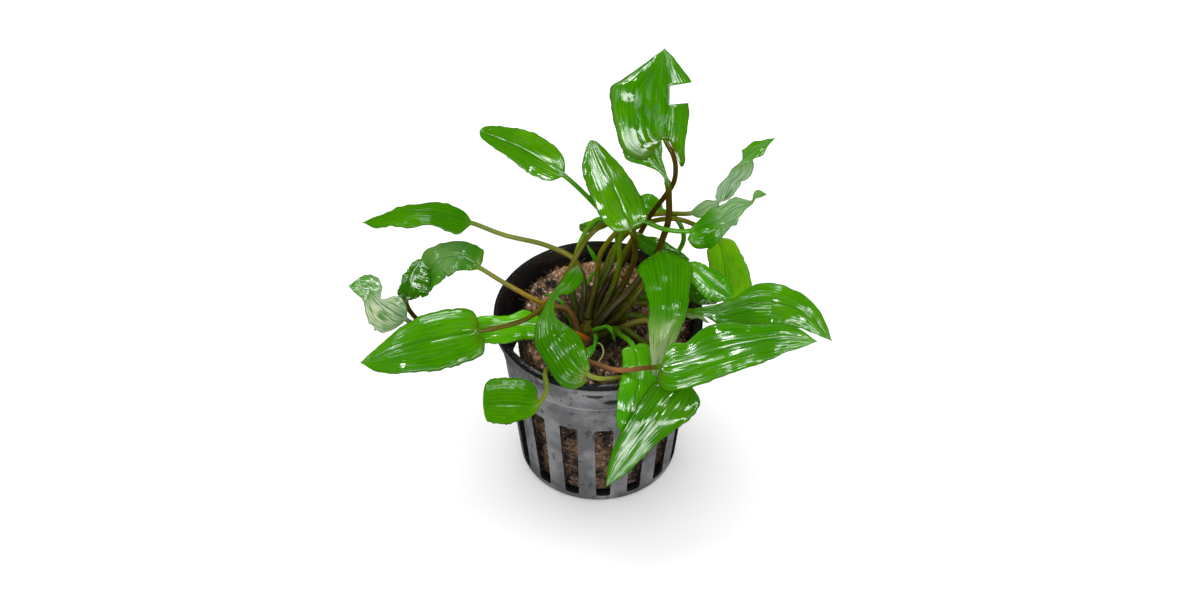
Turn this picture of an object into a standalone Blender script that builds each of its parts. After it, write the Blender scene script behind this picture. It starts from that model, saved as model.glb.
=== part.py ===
"""A potted cryptocoryne: a slotted plastic pot, its plug of rock wool, a rootstock and the leaves that grow from it.

The origin is the middle of the pot's foot, on the surface it stands on. +Z is up, +X is to the right and
-Y is towards the viewer. Sizes below are millimetres, and MM turns them into metres.
"""

import math

import bmesh
import bpy
import numpy as np

MM = 0.001
GAP = 0.35

# The pot: a thin tapered cup with a thicker lip round its mouth and a faint line round its collar
POT_HEIGHT = 51.0
FOOT_R = 21.4
NECK_R = 26.2
LIP_R = 27.5
LIP_IN_R = 26.0
LIP_DEPTH = 3.4
WALL = 1.0
FLOOR = 1.4
LINE_Z = 40.0
LINE_STEP = 0.25
POT_SIDES = 48

# The slots in the pot's wall, narrower towards the foot, and in its floor
SLOTS = 16
SLOT_TURN = math.radians(3.5)
SLOT_LOW_Z = 2.2
SLOT_TOP_Z = 31.0
SLOT_LOW_WIDTH = 3.8
SLOT_TOP_WIDTH = 5.0
SLOT_CORNER = 0.6
FLOOR_SLOTS = 8
FLOOR_SLOT_WIDTH = 3.0
FLOOR_SLOT_IN_R = 7.0
FLOOR_SLOT_OUT_R = 17.0

# The plug of rock wool: it leans on the pot at the back and leaves a gap on the left
WOOL_FOOT_R = 18.8
WOOL_TOP_R = 23.4
WOOL_TOP_Z = 46.8
WOOL_RISE = (-0.05, 0.05)
WOOL_CENTRE = (0.7, 0.4)
WOOL_DENT = 2.0
WOOL_DENT_TURN = math.radians(182)
WOOL_BUMP = 0.5
WOOL_DIP = 1.6
WOOL_DIP_R = 12.0
WOOL_SIDES = 24
WOOL_LEVELS = 5
WOOL_TOP_RINGS = (0.93, 0.72, 0.45, 0.15)

# The rootstock, half sunk in the wool
ROOT_CENTRE = (-1.5, -3.5, 46.5)
ROOT_RADII = (6.8, 5.7, 4.8)
ROOT_LUMP = 0.05
ROOT_SIDES = 16
ROOT_LEVELS = (-75, -45, -15, 15, 42, 68)

# The thin root that curls over the wool in front of it
ROOT_CURL = [(0.2, -10, 49), (1.4, -10.8, 49), (1.9, -12.5, 48.8), (1.2, -14, 48.3), (-0.5, -15.2, 47.7)]
ROOT_CURL_R = 0.32

# Every leaf's section: a round stalk that flattens into the blade
STALK_FOOT_R = 0.72
STALK_TOP_R = 0.62
BLADE_THICK = 0.5
RING_SPACING = 6.8
BLADE_STEPS = (0.03, 0.12, 0.25, 0.38, 0.52, 0.66, 0.8, 0.92, 1.0)
YOUNG_STEPS = (0.06, 0.35, 0.7, 1.0)

# Each leaf, from the crown out. foot: where its stalk leaves the rootstock, as a turn in degrees and a share of
# the way out. stalk: the points its stalk then passes through. rib: its midrib, from blade base to tip. left and
# right: the half widths on each side of the midrib, at even steps from base to tip. faces: what the blade's upper
# side looks at, at even steps too. fold: how far each half rises from the midrib, in degrees. arch: how much less
# it rises at the margin. wave: the margin's rise in mm, how many waves, and their start. lobe: how far each half
# reaches back past the stalk. tear: where along the right half a piece is gone, and what is left of it there.
LEAVES = {
    "leaf_back_left_oval": dict(
        foot=(82, 0.97), stalk=[(0, 7, 51), (2, 10, 54.5), (4, 12, 59), (5, 12.5, 64), (4, 12, 70.5), (0, 11.5, 77)],
        rib=[(-9, 12.5, 87.5), (-20, 15, 94), (-30, 16, 99)],
        left=(2.4, 4.6, 4.5, 4.0, 3.2, 1.8), right=(3.0, 5.7, 6.0, 5.3, 3.9, 1.8),
        faces=[(0, -0.3, 1)]),
    "leaf_upright_centre": dict(
        foot=(12, 0.42), stalk=[(3, -0.5, 52.5), (5, 2, 55), (7.5, 3.5, 59.5), (9, 3, 66), (9.5, 2, 73)],
        rib=[(8, 0, 80), (3, 9, 88), (-2, 16, 96)],
        left=(3.3, 5.7, 6.0, 5.9, 4.9, 1.2), right=(5.1, 5.9, 5.6, 4.7, 3.1, 1.2),
        faces=[(0, -0.6, 0.8), (0.2, -0.7, 0.7)], lobe=(1.0, 1.5)),
    "leaf_top_torn": dict(
        foot=(80, 0.78), stalk=[(0.5, 4.5, 51), (2.5, 8, 53.5), (5.5, 10.5, 56.5), (7.5, 11, 60.5), (10, 12, 65.5),
                                (13.5, 12.5, 73.5), (16.5, 12, 79.5), (19, 12, 84.5), (19.5, 11.5, 89.5), (18, 10, 96)],
        rib=[(16, 10, 101), (17.5, 9, 111), (17.5, 9.5, 119), (16.5, 10.5, 124.5), (16, 12, 128.5)],
        left=(6, 11, 13, 14, 14.4, 14.6, 13.4, 10, 6.6, 3.3, 0.3),
        right=(5, 5.6, 6, 6, 4.5, 4.6, 6, 6.4, 5.6, 3.8, 0.5),
        steps=(0.03, 0.12, 0.25, 0.41, 0.44, 0.55, 0.65, 0.67, 0.8, 0.92, 1.0),
        faces=[(0, -0.9, 0.3), (-0.1, -0.9, 0.3)], fold=(6, -15), lobe=(2.5, 4.0), tear=(0.43, 0.66, 0.6)),
    "leaf_top_small": dict(
        foot=(320, 0.3), stalk=[(1.5, -3.5, 52.8), (4.2, -2.2, 55.5), (8.5, 0, 59), (11.5, 2.5, 62), (14.5, 4.7, 65.3),
                               (16.5, 6, 71), (18, 7, 77), (18, 8, 83)],
        rib=[(17.5, 8.5, 88.5), (15, 11, 93.5), (12.5, 14, 98)],
        left=(1, 3.2, 6.8, 8, 7, 4.5, 1), right=(0.8, 1.2, 1.6, 3.0, 4.5, 3.5, 0.5),
        faces=[(0, -0.6, 0.8)], thick=1.3),
    "leaf_right_wavy_high": dict(
        foot=(112, 0.72), stalk=[(-1.5, 5, 51.5), (-0.5, 7.5, 54.5), (0, 9, 59), (0.5, 9.5, 62.5), (2, 9.5, 66),
                                (4.5, 9.5, 70), (8, 11.5, 71.5), (12, 14.5, 71.5), (17.5, 15.5, 71.5)],
        rib=[(24, 15, 72), (28, 14, 75), (32, 15, 77), (34, 16, 82), (36, 16, 85), (37, 16, 90), (41, 17, 93),
             (45, 18, 95)],
        left=(1, 2.4, 2.8, 1.6, 2.8, 3.4, 2.4, 3.4, 0.3), right=(1, 2.4, 2.2, 1.6, 3.4, 3.6, 2.6, 2.4, 0.3),
        faces=[(0, -0.2, 1), (-0.3, 0.3, 0.9), (-0.5, 0.8, 0.1), (-0.5, 0.7, 0.2), (-0.3, -0.3, 0.9), (-0.3, -0.3, 0.9)],
        wave=(0.5, 3, 0.4)),
    "leaf_right_wavy_low": dict(
        foot=(55, 0.5), stalk=[(3, 3.5, 54), (4.5, 5, 57), (5.5, 5.5, 63.5), (5.5, 5.5, 71.5), (7, 5, 77), (9, 5, 79.5),
                               (11.5, 5.5, 78), (17, 4.5, 76)],
        rib=[(23.5, 5.5, 74.5), (27, 6.5, 75.5), (31, 7, 77), (35, 8, 80), (39, 8, 82), (40, 8, 84), (43, 9, 84)],
        left=(1, 2.3, 4.2, 4.5, 3.9, 3.5, 2.9, 1.6, 0.4, 1.6, 0.2),
        right=(0.7, 4.8, 6.2, 5.2, 3.5, 4.2, 2.9, 1, 0.4, 0.7, 0.2),
        faces=[(-0.2, -0.8, 0.6), (-0.3, -0.4, 0.8), (-0.3, -0.6, 0.7)], wave=(0.6, 3, 2.0)),
    "leaf_left_high": dict(
        foot=(137, 0.85), stalk=[(-3.8, 4.5, 52), (-3.8, 7.5, 55), (-5, 9, 58.5), (-7, 9.5, 61.5), (-14, 10, 65.5),
                                (-24.5, 10.5, 68.5)],
        rib=[(-34, 11, 72.5), (-42, 11.5, 75.5), (-51.5, 12, 75), (-61.5, 13, 70.5)],
        left=(1.1, 5.4, 4.0, 5.2, 5.6, 5.6, 5.2, 4.5, 3.7, 2.3, 0.2),
        right=(1.1, 4.2, 4.4, 4.0, 3.8, 3.2, 2.4, 1.9, 1.4, 0.8, 0.2),
        faces=[(0, 0, 1)], fold=(-12, 12), arch=-15, wave=(0.3, 3, 1.0)),
    "leaf_left_middle": dict(
        foot=(182, 0.78), stalk=[(-11, 0, 50), (-15, 3, 51), (-24, 5, 56)],
        rib=[(-31, 6, 61), (-37, 6, 65), (-42, 5, 64), (-44, 3, 61), (-46, 0, 56)],
        left=(1, 2.5, 4, 4.8, 5, 4.2, 3, 1), right=(3, 4.4, 4.2, 3.6, 3.2, 2.8, 2, 0.8),
        faces=[(0, -0.5, 0.9), (-0.2, -0.6, 0.6), (-0.8, -0.4, 0.3)], fold=(15, 0), wave=(0.5, 4, 0.0),
        lobe=(0.5, 2.0)),
    "leaf_left_curled": dict(
        foot=(198, 0.97), stalk=[(-13, -5, 52), (-18, -5, 53.5), (-27, -7, 55), (-37, -5, 52), (-45, -4, 50), (-49, -3, 54)],
        rib=[(-50, -2, 57), (-49, 0, 62), (-46, 3, 67)],
        left=(1.8, 2.3, 2.1, 1.6, 1, 0.3), right=(2, 4.4, 5.2, 4.4, 3.4, 1.2),
        faces=[(0.3, -0.9, 0.2), (0.3, -0.9, 0.5)], fold=(20, 20), wave=(0.5, 3, 1.0)),
    "leaf_far_left_twisted": dict(
        foot=(217, 0.97), stalk=[(-13, -8, 52), (-18, -8.5, 53.5), (-27, -10.5, 55), (-37, -9, 52), (-45, -8, 52)],
        rib=[(-50, -6, 54), (-53, -6, 57), (-56, -6, 60), (-59, -6, 64), (-64, -6, 66)],
        left=(1.5, 4.5, 5.2, 4.2, 2.4, 2.6, 2.4, 1.5, 0.2), right=(1.5, 3.9, 4.5, 3.2, 1.8, 3.7, 4, 2.4, 0.2),
        faces=[(0, -0.9, 0.3), (0.3, -0.8, 0.5), (0.5, -0.6, 0.6)], wave=(0.4, 2, 0.6)),
    "leaf_left_large": dict(
        foot=(30, 0.72), stalk=[(4.6, 3.1, 53), (7.2, 5.1, 58), (9.2, 6, 63), (9.5, 6, 69), (8.5, 6.5, 75.5), (6, 7.5, 77),
                                (3.5, 8, 75.5), (-0.5, 5, 75.5), (-3.5, 2.5, 73.5), (-7, -2, 69), (-10, -5, 64.5),
                                (-13, -8, 62), (-18.5, -11, 59), (-27, -13, 57.5)],
        rib=[(-31, -14, 57.5), (-40, -16, 57), (-51, -19, 56), (-61, -22, 54)],
        left=(3.0, 6.6, 8.6, 8.9, 8.9, 8.3, 7.7, 6.9, 5.7, 3.7, 0.3),
        right=(2.5, 6.6, 7.6, 7.7, 7.4, 6.6, 5.7, 4.3, 2.9, 1.5, 0.3),
        faces=[(0, -0.4, 1)], lobe=(1.6, 0.5)),
    "leaf_front_curled_tip": dict(
        foot=(335, 0.97), stalk=[(8, -6, 52), (12.5, -7, 54.5), (15.5, -10, 55), (16, -14, 54), (13.8, -17, 52.5),
                                 (11.5, -19, 50.5), (8, -21.8, 49.5), (3.5, -23.8, 50.3), (-0.5, -26, 52.8)],
        rib=[(-3, -26, 54.5), (-7, -23, 58.2), (-10.5, -18.5, 61), (-12, -16, 65), (-12, -14, 67.5), (-10, -12, 70),
             (-8, -11, 71), (-5, -9, 76)],
        left=(4, 7, 7, 6.7, 6, 4, 1.4, 0.9, 1.3, 1.2, 0.8),
        right=(1.5, 3, 4.3, 4.8, 4.1, 2, 1.2, 0.7, 2.4, 3, 1.2),
        faces=[(0, -0.8, 0.5), (0, -0.8, 0.6), (0.2, -0.8, 0.5), (0.4, -0.6, 0.8)], lobe=(3.5, 1.0)),
    "leaf_left_over_rim": dict(
        foot=(230, 0.97), stalk=[(-9, -9, 52.5)],
        rib=[(-13, -8, 56), (-19, -8, 57), (-26, -9, 57.5), (-34, -9.5, 57.5)],
        left=(1.3, 3.2, 2.9, 2.9, 3.3, 3.5, 3.2, 1.6), right=(1.3, 2.9, 4.2, 3.2, 2.9, 2.9, 2.6, 1.3),
        faces=[(0, -0.2, 1)], wave=(0.3, 3, 0.0)),
    "leaf_front_left_small": dict(
        foot=(243, 0.97), stalk=[(-8, -13, 50.5), (-11, -18.5, 51.5), (-13.5, -24, 52.5), (-13, -29, 52)],
        rib=[(-15, -32, 50), (-21, -34, 52), (-29, -34, 52)],
        left=(2.2, 4.6, 6.3, 6.8, 6.9, 6.8, 6.6, 5.8), right=(2.2, 4.8, 6.6, 7.4, 7.5, 7.2, 6.8, 5.4),
        faces=[(0, -0.9, 0.5)]),
    "leaf_front_hanging_narrow": dict(
        foot=(296, 0.82), stalk=[(4, -8.5, 53), (6, -12, 54), (8, -15.5, 55.5)],
        rib=[(9, -17.5, 55.5), (10, -22, 53.5), (10, -27, 52.5), (9, -32, 50), (8, -36, 46), (7.5, -37, 40.5)],
        left=(3, 3.5, 4, 4.3, 3.8, 2.8, 0.4), right=(2.2, 3.1, 3.9, 4.4, 3.9, 2.6, 0.4),
        faces=[(0, -0.4, 1), (0, -0.7, 0.7), (0, -1, 0.2)], lobe=(2.0, 2.0)),
    "leaf_front_hanging_wide": dict(
        foot=(318, 0.82), stalk=[(6.5, -7.5, 52), (9, -9.5, 52), (13.5, -12.5, 50), (16, -17, 52), (19, -22, 54), (21, -27, 54.5)],
        rib=[(21, -30, 53.5), (16, -36, 51.5), (10, -41, 45), (2, -43, 31)],
        left=(4.6, 6.2, 5.9, 4.9, 4.1, 2.6, 0.3), right=(4.4, 6.0, 5.6, 4.6, 3.5, 2, 0.3),
        faces=[(0, -0.4, 1), (0, -0.9, 0.5), (0, -1, 0.3)], fold=(8, 8)),
    "leaf_centre_drooping": dict(
        foot=(338, 0.66), stalk=[(5, -5, 53.5), (9, -5, 59), (12.5, -4, 65)],
        rib=[(14, -2, 69), (17.5, -4, 72), (17.5, -11, 72), (17.5, -17, 69), (16.5, -21, 63), (14, -26, 50.5)],
        left=(3, 6.8, 6.8, 6, 5.5, 4.5, 3, 1.3, 0.3), right=(3, 7, 6.8, 6, 5.3, 4.8, 3.5, 2, 0.4),
        faces=[(-0.2, -0.2, 1), (0, -0.5, 0.9), (0, -0.8, 0.5), (0, -1, 0.3)], fold=(-8, -8), wave=(0.4, 3, 0.0)),
    "leaf_centre_back": dict(
        foot=(58, 0.8), stalk=[(3.5, 5, 52.5), (4.8, 7.5, 58), (6.5, 8.5, 63), (8, 8.5, 67)],
        rib=[(10, 8, 71), (12, 8, 68.5), (16, 8.5, 65.5), (24, 9, 61)],
        left=(0.6, 1.5, 2.4, 2.4, 1.8, 1.2, 0.3), right=(0.8, 2.2, 2.8, 3.2, 3, 2.2, 0.3),
        faces=[(0, -0.8, 0.6)], wave=(0.2, 3, 0.0)),
    "leaf_right_large_low": dict(
        foot=(257, 0.97), stalk=[(-4.6, -13, 48.8), (-3.5, -15.5, 49), (0.5, -19, 50), (5.5, -23.5, 53), (12, -27, 57.5)],
        rib=[(15.5, -28.5, 59.5), (25.5, -28.5, 63), (35.5, -28.5, 67), (45, -28, 69), (54.5, -27.5, 67.5)],
        left=(1, 5, 4.6, 6.8, 7.1, 6.6, 4.8, 4.2, 3.7, 2.4, 0.3),
        right=(2.6, 6.2, 6.6, 6.6, 6.3, 6.0, 5.6, 4.9, 3.6, 2.1, 0.3),
        faces=[(0, -0.7, 0.8)], wave=(0.3, 3, 0.0), lobe=(0.0, 2.0), thick=1.2),
    "leaf_right_large_high": dict(
        foot=(0, 0.8), stalk=[(6.5, -1, 54), (12.5, -1.5, 55.5), (18.5, -5, 57)],
        rib=[(23.5, -9, 60), (31, -10, 61.5), (38.5, -11, 64.5), (46, -13, 66.5), (52.5, -15, 65), (59.5, -18, 58)],
        left=(0.6, 1.1, 1.7, 3.2, 5.8, 6.0, 5.0, 4.3, 3.4, 2.1, 0.3),
        right=(0.5, 0.8, 2, 4, 4.8, 5.4, 5.4, 4.8, 3.7, 2, 0.3),
        faces=[(0, -0.5, 0.9), (0.2, -0.5, 0.9)]),
    "leaf_right_back_round": dict(
        foot=(102, 0.97), stalk=[(-1.5, 8, 50), (0, 11, 52), (2, 13, 55), (3.5, 14.5, 58.5), (5.5, 15, 62), (9, 15.5, 66),
                                (15, 15, 69.5), (20, 14, 71), (25, 14, 69)],
        rib=[(31, 13.5, 64), (33, 12, 58), (34, 10, 52), (35, 8, 46)],
        left=(2.5, 4, 5, 5.6, 5.6, 4, 0.4), right=(3, 4, 4, 4.2, 4, 3, 0.4),
        faces=[(0, -0.5, 0.9), (0, -0.9, 0.3)]),
    "leaf_right_small": dict(
        foot=(18, 0.97), stalk=[(8, 1, 54), (13.5, 1.5, 59.5), (20, 2, 64.5)],
        rib=[(23.5, 2, 66), (29.5, -1, 62.5), (34.5, -4, 59.5)],
        left=(0.8, 2.2, 3.2, 3.5, 3.2, 2.4, 0.8), right=(1, 3, 3.5, 3.8, 3.5, 2.2, 0.4),
        faces=[(0, -0.5, 0.9), (0.2, -0.6, 0.8)]),
    "leaf_right_rim_pale": dict(
        foot=(350, 0.99), stalk=[(8, -3.5, 53), (12.5, -4.5, 53), (18.5, -5, 53)],
        rib=[(22, -5, 54.5), (26, -5, 54.5), (29, -6, 52.5)],
        left=(1.2, 2.4, 2.8, 2.6, 1.8, 0.4), right=(1.2, 2.4, 2.8, 2.6, 1.8, 0.4),
        faces=[(0.2, 0.5, 0.9)]),
    "leaf_right_shaded": dict(
        foot=(38, 0.99), stalk=[(8, 3, 53), (13, 3, 53), (19, 3, 54)],
        rib=[(23, 2.5, 56), (27, 1, 56.5), (31, 0, 54)],
        left=(1.2, 2.6, 3, 2.8, 1.8, 0.4), right=(1.2, 2.6, 3, 2.8, 1.8, 0.4),
        faces=[(0, -0.6, 0.8)]),
    "leaf_back_over_rim": dict(
        foot=(138, 0.97), stalk=[(-7, 9, 53), (-5, 16, 60), (-1, 21, 64)],
        rib=[(3, 24, 62), (0, 31, 55), (-3, 37, 45)],
        left=(1.5, 4, 4.8, 4.6, 3.4, 0.4), right=(1.5, 4, 4.8, 4.6, 3.4, 0.4),
        faces=[(0, 0.1, 1), (0, 0.6, 0.8)]),
    "leaf_back_right": dict(
        foot=(60, 0.99), stalk=[(7, 6, 50), (12, 8, 52), (17, 10, 55), (20.5, 14, 58), (22.5, 16, 61.5), (22, 17, 65),
                                (20, 18, 68)],
        rib=[(16.5, 18.5, 70), (13, 19.5, 71), (8, 22, 70)],
        left=(1, 2.8, 3.4, 3, 2, 0.3), right=(1, 2.8, 3.4, 3, 2, 0.3),
        faces=[(0, -0.4, 0.9)]),
}

# The young leaves, narrow as grass, and the crown's own tiny leaf
YOUNG_LEAVES = {
    "young_leaf_back": dict(
        foot=(120, 0.99), stalk=[(-4, 6, 51), (-2, 11, 53)], rib=[(0, 13, 54.5), (-1.5, 14, 58.5), (-3, 15.5, 60.5)],
        left=(0.6, 0.8, 0.8, 0.2), right=(0.6, 0.8, 0.8, 0.2), faces=[(1, -0.5, 0.6)], thick=0.6),
    "young_leaf_left": dict(
        foot=(162, 0.97), stalk=[(-9, 2, 51)], rib=[(-10, 3, 52), (-12, 5, 52), (-14, 7, 50.5)],
        left=(0.5, 0.7, 0.6, 0.2), right=(0.5, 0.7, 0.6, 0.2), faces=[(0, 0, 1)], thick=0.6),
    "young_leaf_front": dict(
        foot=(286, 0.5), stalk=[(0, -7.6, 53)], rib=[(0.5, -8.8, 54), (1.6, -10.4, 53), (2.2, -11.2, 50.8)],
        left=(0.6, 0.9, 0.9, 0.2), right=(0.6, 0.9, 0.9, 0.2), faces=[(0, 0, 1), (0.8, -0.3, 0.4)], thick=0.6),
    "leaf_crown_tiny": dict(
        foot=(283, 0.8), stalk=[(-0.8, -10, 50.5)], rib=[(-0.7, -10.8, 50.8), (-2.2, -12.2, 50.8), (-3.5, -13.5, 50.4)],
        left=(0.6, 1.2, 1.3, 0.3), right=(0.6, 1.2, 1.3, 0.3), faces=[(0, -0.7, 0.7)], thick=0.6),
}


def material(name, colour, roughness):
    made = bpy.data.materials.new(name)
    made.use_nodes = True
    shader = made.node_tree.nodes["Principled BSDF"]
    shader.inputs["Base Color"].default_value = (*colour, 1.0)
    shader.inputs["Roughness"].default_value = roughness
    shader.inputs["Metallic"].default_value = 0.0
    return made


def solid(name, points, faces, finish=None):
    """An object from points in mm, with its faces pointing outwards."""
    mesh = bpy.data.meshes.new(name)
    mesh.from_pydata([tuple(float(c) * MM for c in p) for p in points], [], faces)
    work = bmesh.new()
    work.from_mesh(mesh)
    bmesh.ops.recalc_face_normals(work, faces=work.faces)
    work.to_mesh(mesh)
    work.free()
    made = bpy.data.objects.new(name, mesh)
    bpy.context.scene.collection.objects.link(made)
    if finish:
        mesh.materials.append(finish)
    return made


def loft(rings):
    """Points and faces of a closed body through rings of equal length."""
    count = len(rings[0])
    points = [p for ring in rings for p in ring]
    faces = [tuple(range(count)), tuple(range(len(points) - count, len(points)))]
    for start in range(0, len(points) - count, count):
        for k in range(count):
            after = (k + 1) % count
            faces.append((start + k, start + after, start + count + after, start + count + k))
    return points, faces


def soften(made, angle):
    made.data.shade_smooth()
    made.data.set_sharp_from_angle(angle=math.radians(angle))


def cut(made, name, parts):
    """Cuts several closed bodies, given as points and faces, out of an object."""
    points, faces = [], []
    for part_points, part_faces in parts:
        faces += [tuple(len(points) + k for k in face) for face in part_faces]
        points += part_points
    cutter = solid(name, points, faces)
    cutter.hide_render = True
    cutter.display_type = "WIRE"
    boolean = made.modifiers.new(name, "BOOLEAN")
    boolean.operation = "DIFFERENCE"
    boolean.solver = "EXACT"
    boolean.object = cutter


def outer_radius(z):
    """The pot's outside below its lip."""
    return FOOT_R + (NECK_R - FOOT_R) * z / (POT_HEIGHT - LIP_DEPTH)


def radial_prism(turn, outline, inner, outer):
    """A prism along a radius, its outline given as (sideways, height) pairs."""
    along = (math.cos(turn), math.sin(turn))
    rings = []
    for r in (inner, outer):
        rings.append([(r * along[0] - s * along[1], r * along[1] + s * along[0], z) for s, z in outline])
    return loft(rings)


def net_pot(finish):
    line_r = outer_radius(LINE_Z)
    profile = [
        (outer_radius(FLOOR) - WALL, FLOOR),
        (LIP_IN_R - 0.7, POT_HEIGHT - LIP_DEPTH),
        (LIP_IN_R, POT_HEIGHT - 0.5),
        (LIP_IN_R + 0.35, POT_HEIGHT),
        (LIP_R - 0.4, POT_HEIGHT),
        (LIP_R, POT_HEIGHT - 0.5),
        (LIP_R, POT_HEIGHT - LIP_DEPTH + 0.2),
        (LIP_R - 0.2, POT_HEIGHT - LIP_DEPTH),
        (NECK_R, POT_HEIGHT - LIP_DEPTH),
        (line_r, LINE_Z),
        (line_r - LINE_STEP, LINE_Z - 0.3),
        (outer_radius(0.6) - 0.1, 0.6),
        (FOOT_R - 0.6, 0.0),
    ]
    turns = [2 * math.pi * k / POT_SIDES for k in range(POT_SIDES)]
    pot = solid("net_pot", *loft([[(r * math.cos(a), r * math.sin(a), z) for a in turns] for r, z in profile]), finish)
    low, top = SLOT_LOW_WIDTH / 2, SLOT_TOP_WIDTH / 2
    slot = [(-low, SLOT_LOW_Z), (low, SLOT_LOW_Z), (top, SLOT_TOP_Z - SLOT_CORNER), (top - SLOT_CORNER, SLOT_TOP_Z),
            (SLOT_CORNER - top, SLOT_TOP_Z), (-top, SLOT_TOP_Z - SLOT_CORNER)]
    cutters = [
        radial_prism(SLOT_TURN - math.pi / 2 + 2 * math.pi * k / SLOTS, slot, WOOL_FOOT_R, LIP_R + 3)
        for k in range(SLOTS)
    ]
    half = FLOOR_SLOT_WIDTH / 2
    floor_slot = [(-half, -1), (half, -1), (half, FLOOR + 0.4), (-half, FLOOR + 0.4)]
    cutters += [
        radial_prism(2 * math.pi * (k + 0.5) / FLOOR_SLOTS, floor_slot, FLOOR_SLOT_IN_R, FLOOR_SLOT_OUT_R)
        for k in range(FLOOR_SLOTS)
    ]
    cut(pot, "pot_slots", cutters)
    soften(pot, 35)


def root_rings(extra):
    """Rings round the rootstock, grown by extra mm."""
    rings = []
    for level in ROOT_LEVELS:
        rise = math.radians(level)
        ring = []
        for k in range(ROOT_SIDES):
            a = 2 * math.pi * k / ROOT_SIDES
            swell = 1 + ROOT_LUMP * math.sin(3 * a + level / 20) * math.cos(rise)
            ring.append((
                ROOT_CENTRE[0] + (ROOT_RADII[0] + extra) * swell * math.cos(rise) * math.cos(a),
                ROOT_CENTRE[1] + (ROOT_RADII[1] + extra) * swell * math.cos(rise) * math.sin(a),
                ROOT_CENTRE[2] + (ROOT_RADII[2] + extra) * math.sin(rise),
            ))
        rings.append(ring)
    return rings


def wool_top_z(x, y):
    """The wool's top, which sinks a little towards the rootstock."""
    away = math.hypot(x - ROOT_CENTRE[0], y - ROOT_CENTRE[1])
    return WOOL_TOP_Z + WOOL_RISE[0] * x + WOOL_RISE[1] * y - WOOL_DIP * math.exp(-((away / WOOL_DIP_R) ** 2))


def rock_wool(finish):
    chance = np.random.default_rng(7)
    low = FLOOR + GAP
    rings = []
    for level in range(WOOL_LEVELS + 1):
        share = level / WOOL_LEVELS
        ring = []
        for k in range(WOOL_SIDES):
            a = 2 * math.pi * k / WOOL_SIDES
            away = abs((a - WOOL_DENT_TURN + math.pi) % (2 * math.pi) - math.pi)
            dent = WOOL_DENT * math.exp(-((away / 0.55) ** 2)) * share
            r = WOOL_FOOT_R + (WOOL_TOP_R - WOOL_FOOT_R) * share - dent - WOOL_BUMP * chance.random()
            x = WOOL_CENTRE[0] * share + r * math.cos(a)
            y = WOOL_CENTRE[1] * share + r * math.sin(a)
            ring.append((x, y, low + (wool_top_z(x, y) - 0.9 - low) * share))
        rings.append(ring)
    rim = rings[-1]
    for share in WOOL_TOP_RINGS:
        ring = []
        for x, y, _ in rim:
            x, y = WOOL_CENTRE[0] + (x - WOOL_CENTRE[0]) * share, WOOL_CENTRE[1] + (y - WOOL_CENTRE[1]) * share
            ring.append((x, y, wool_top_z(x, y) + WOOL_BUMP * (chance.random() - 0.5)))
        rings.append(ring)
    wool = solid("rock_wool", *loft(rings), finish)
    cut(wool, "wool_pit", [loft(root_rings(GAP))])
    soften(wool, 60)


def unit(v):
    return v / np.linalg.norm(v)


def smooth_route(points, steps=16):
    """A centripetal Catmull-Rom curve through the points in small steps, and each point's place on it."""
    points = [np.array(p, float) for p in points]
    points = [2 * points[0] - points[1]] + points + [2 * points[-1] - points[-2]]
    route = [points[1]]
    for a, b, c, d in zip(points, points[1:], points[2:], points[3:]):
        t1 = np.linalg.norm(b - a) ** 0.5
        t2 = t1 + np.linalg.norm(c - b) ** 0.5
        t3 = t2 + np.linalg.norm(d - c) ** 0.5
        for t in np.linspace(t1, t2, steps + 1)[1:]:
            ab = (a * (t1 - t) + b * t) / t1
            bc = (b * (t2 - t) + c * (t - t1)) / (t2 - t1)
            cd = (c * (t3 - t) + d * (t - t2)) / (t3 - t2)
            abc = (ab * (t2 - t) + bc * t) / t2
            bcd = (bc * (t3 - t) + cd * (t - t1)) / (t3 - t1)
            route.append((abc * (t2 - t) + bcd * (t - t1)) / (t2 - t1))
    return np.array(route)


def along(route, wanted):
    """Points and directions at distances along a route."""
    lengths = np.concatenate([[0], np.cumsum(np.linalg.norm(np.diff(route, axis=0), axis=1))])
    reach = 0.4

    def at(distances):
        return np.stack([np.interp(distances, lengths, route[:, k]) for k in range(3)], 1)

    ways = at(wanted + reach) - at(wanted - reach)
    return at(wanted), ways / np.linalg.norm(ways, axis=1, keepdims=True)


def blend(values, t):
    """The value at t, from 0 to 1, on a smooth curve through evenly spaced values."""
    values = np.array(values, float)
    if len(values) == 1:
        return values[0]
    place = min(max(t, 0.0), 1.0) * (len(values) - 1)
    k = min(int(place), len(values) - 2)
    before, start, end, after = values[max(k - 1, 0)], values[k], values[k + 1], values[min(k + 2, len(values) - 1)]
    u = place - k
    return start + 0.5 * u * (end - before + u * (2 * before - 5 * start + 4 * end - after
                                                  + u * (3 * (start - end) + after - before)))


def half_width(values, t):
    """A blade's half width at t, rounded off at its base and at its tip."""
    base = math.sqrt(1 - (1 - min(t, 0.06) / 0.06) ** 2)
    tip = math.sqrt(1 - (1 - min(1 - t, 0.07) / 0.07) ** 2)
    return max(0.0, float(blend(values, t))) * base * tip


def foot_point(turn, share, radius):
    """Where a stalk starts: just above the rootstock's skin."""
    a = math.radians(turn)
    on = np.array([share * math.cos(a), share * math.sin(a), math.sqrt(1 - share**2)])
    normal = unit(on / np.array(ROOT_RADII))
    swell = 1 + ROOT_LUMP * share
    return np.array(ROOT_CENTRE) + on * np.array(ROOT_RADII) * swell + normal * (GAP + 0.6 * radius)


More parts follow.
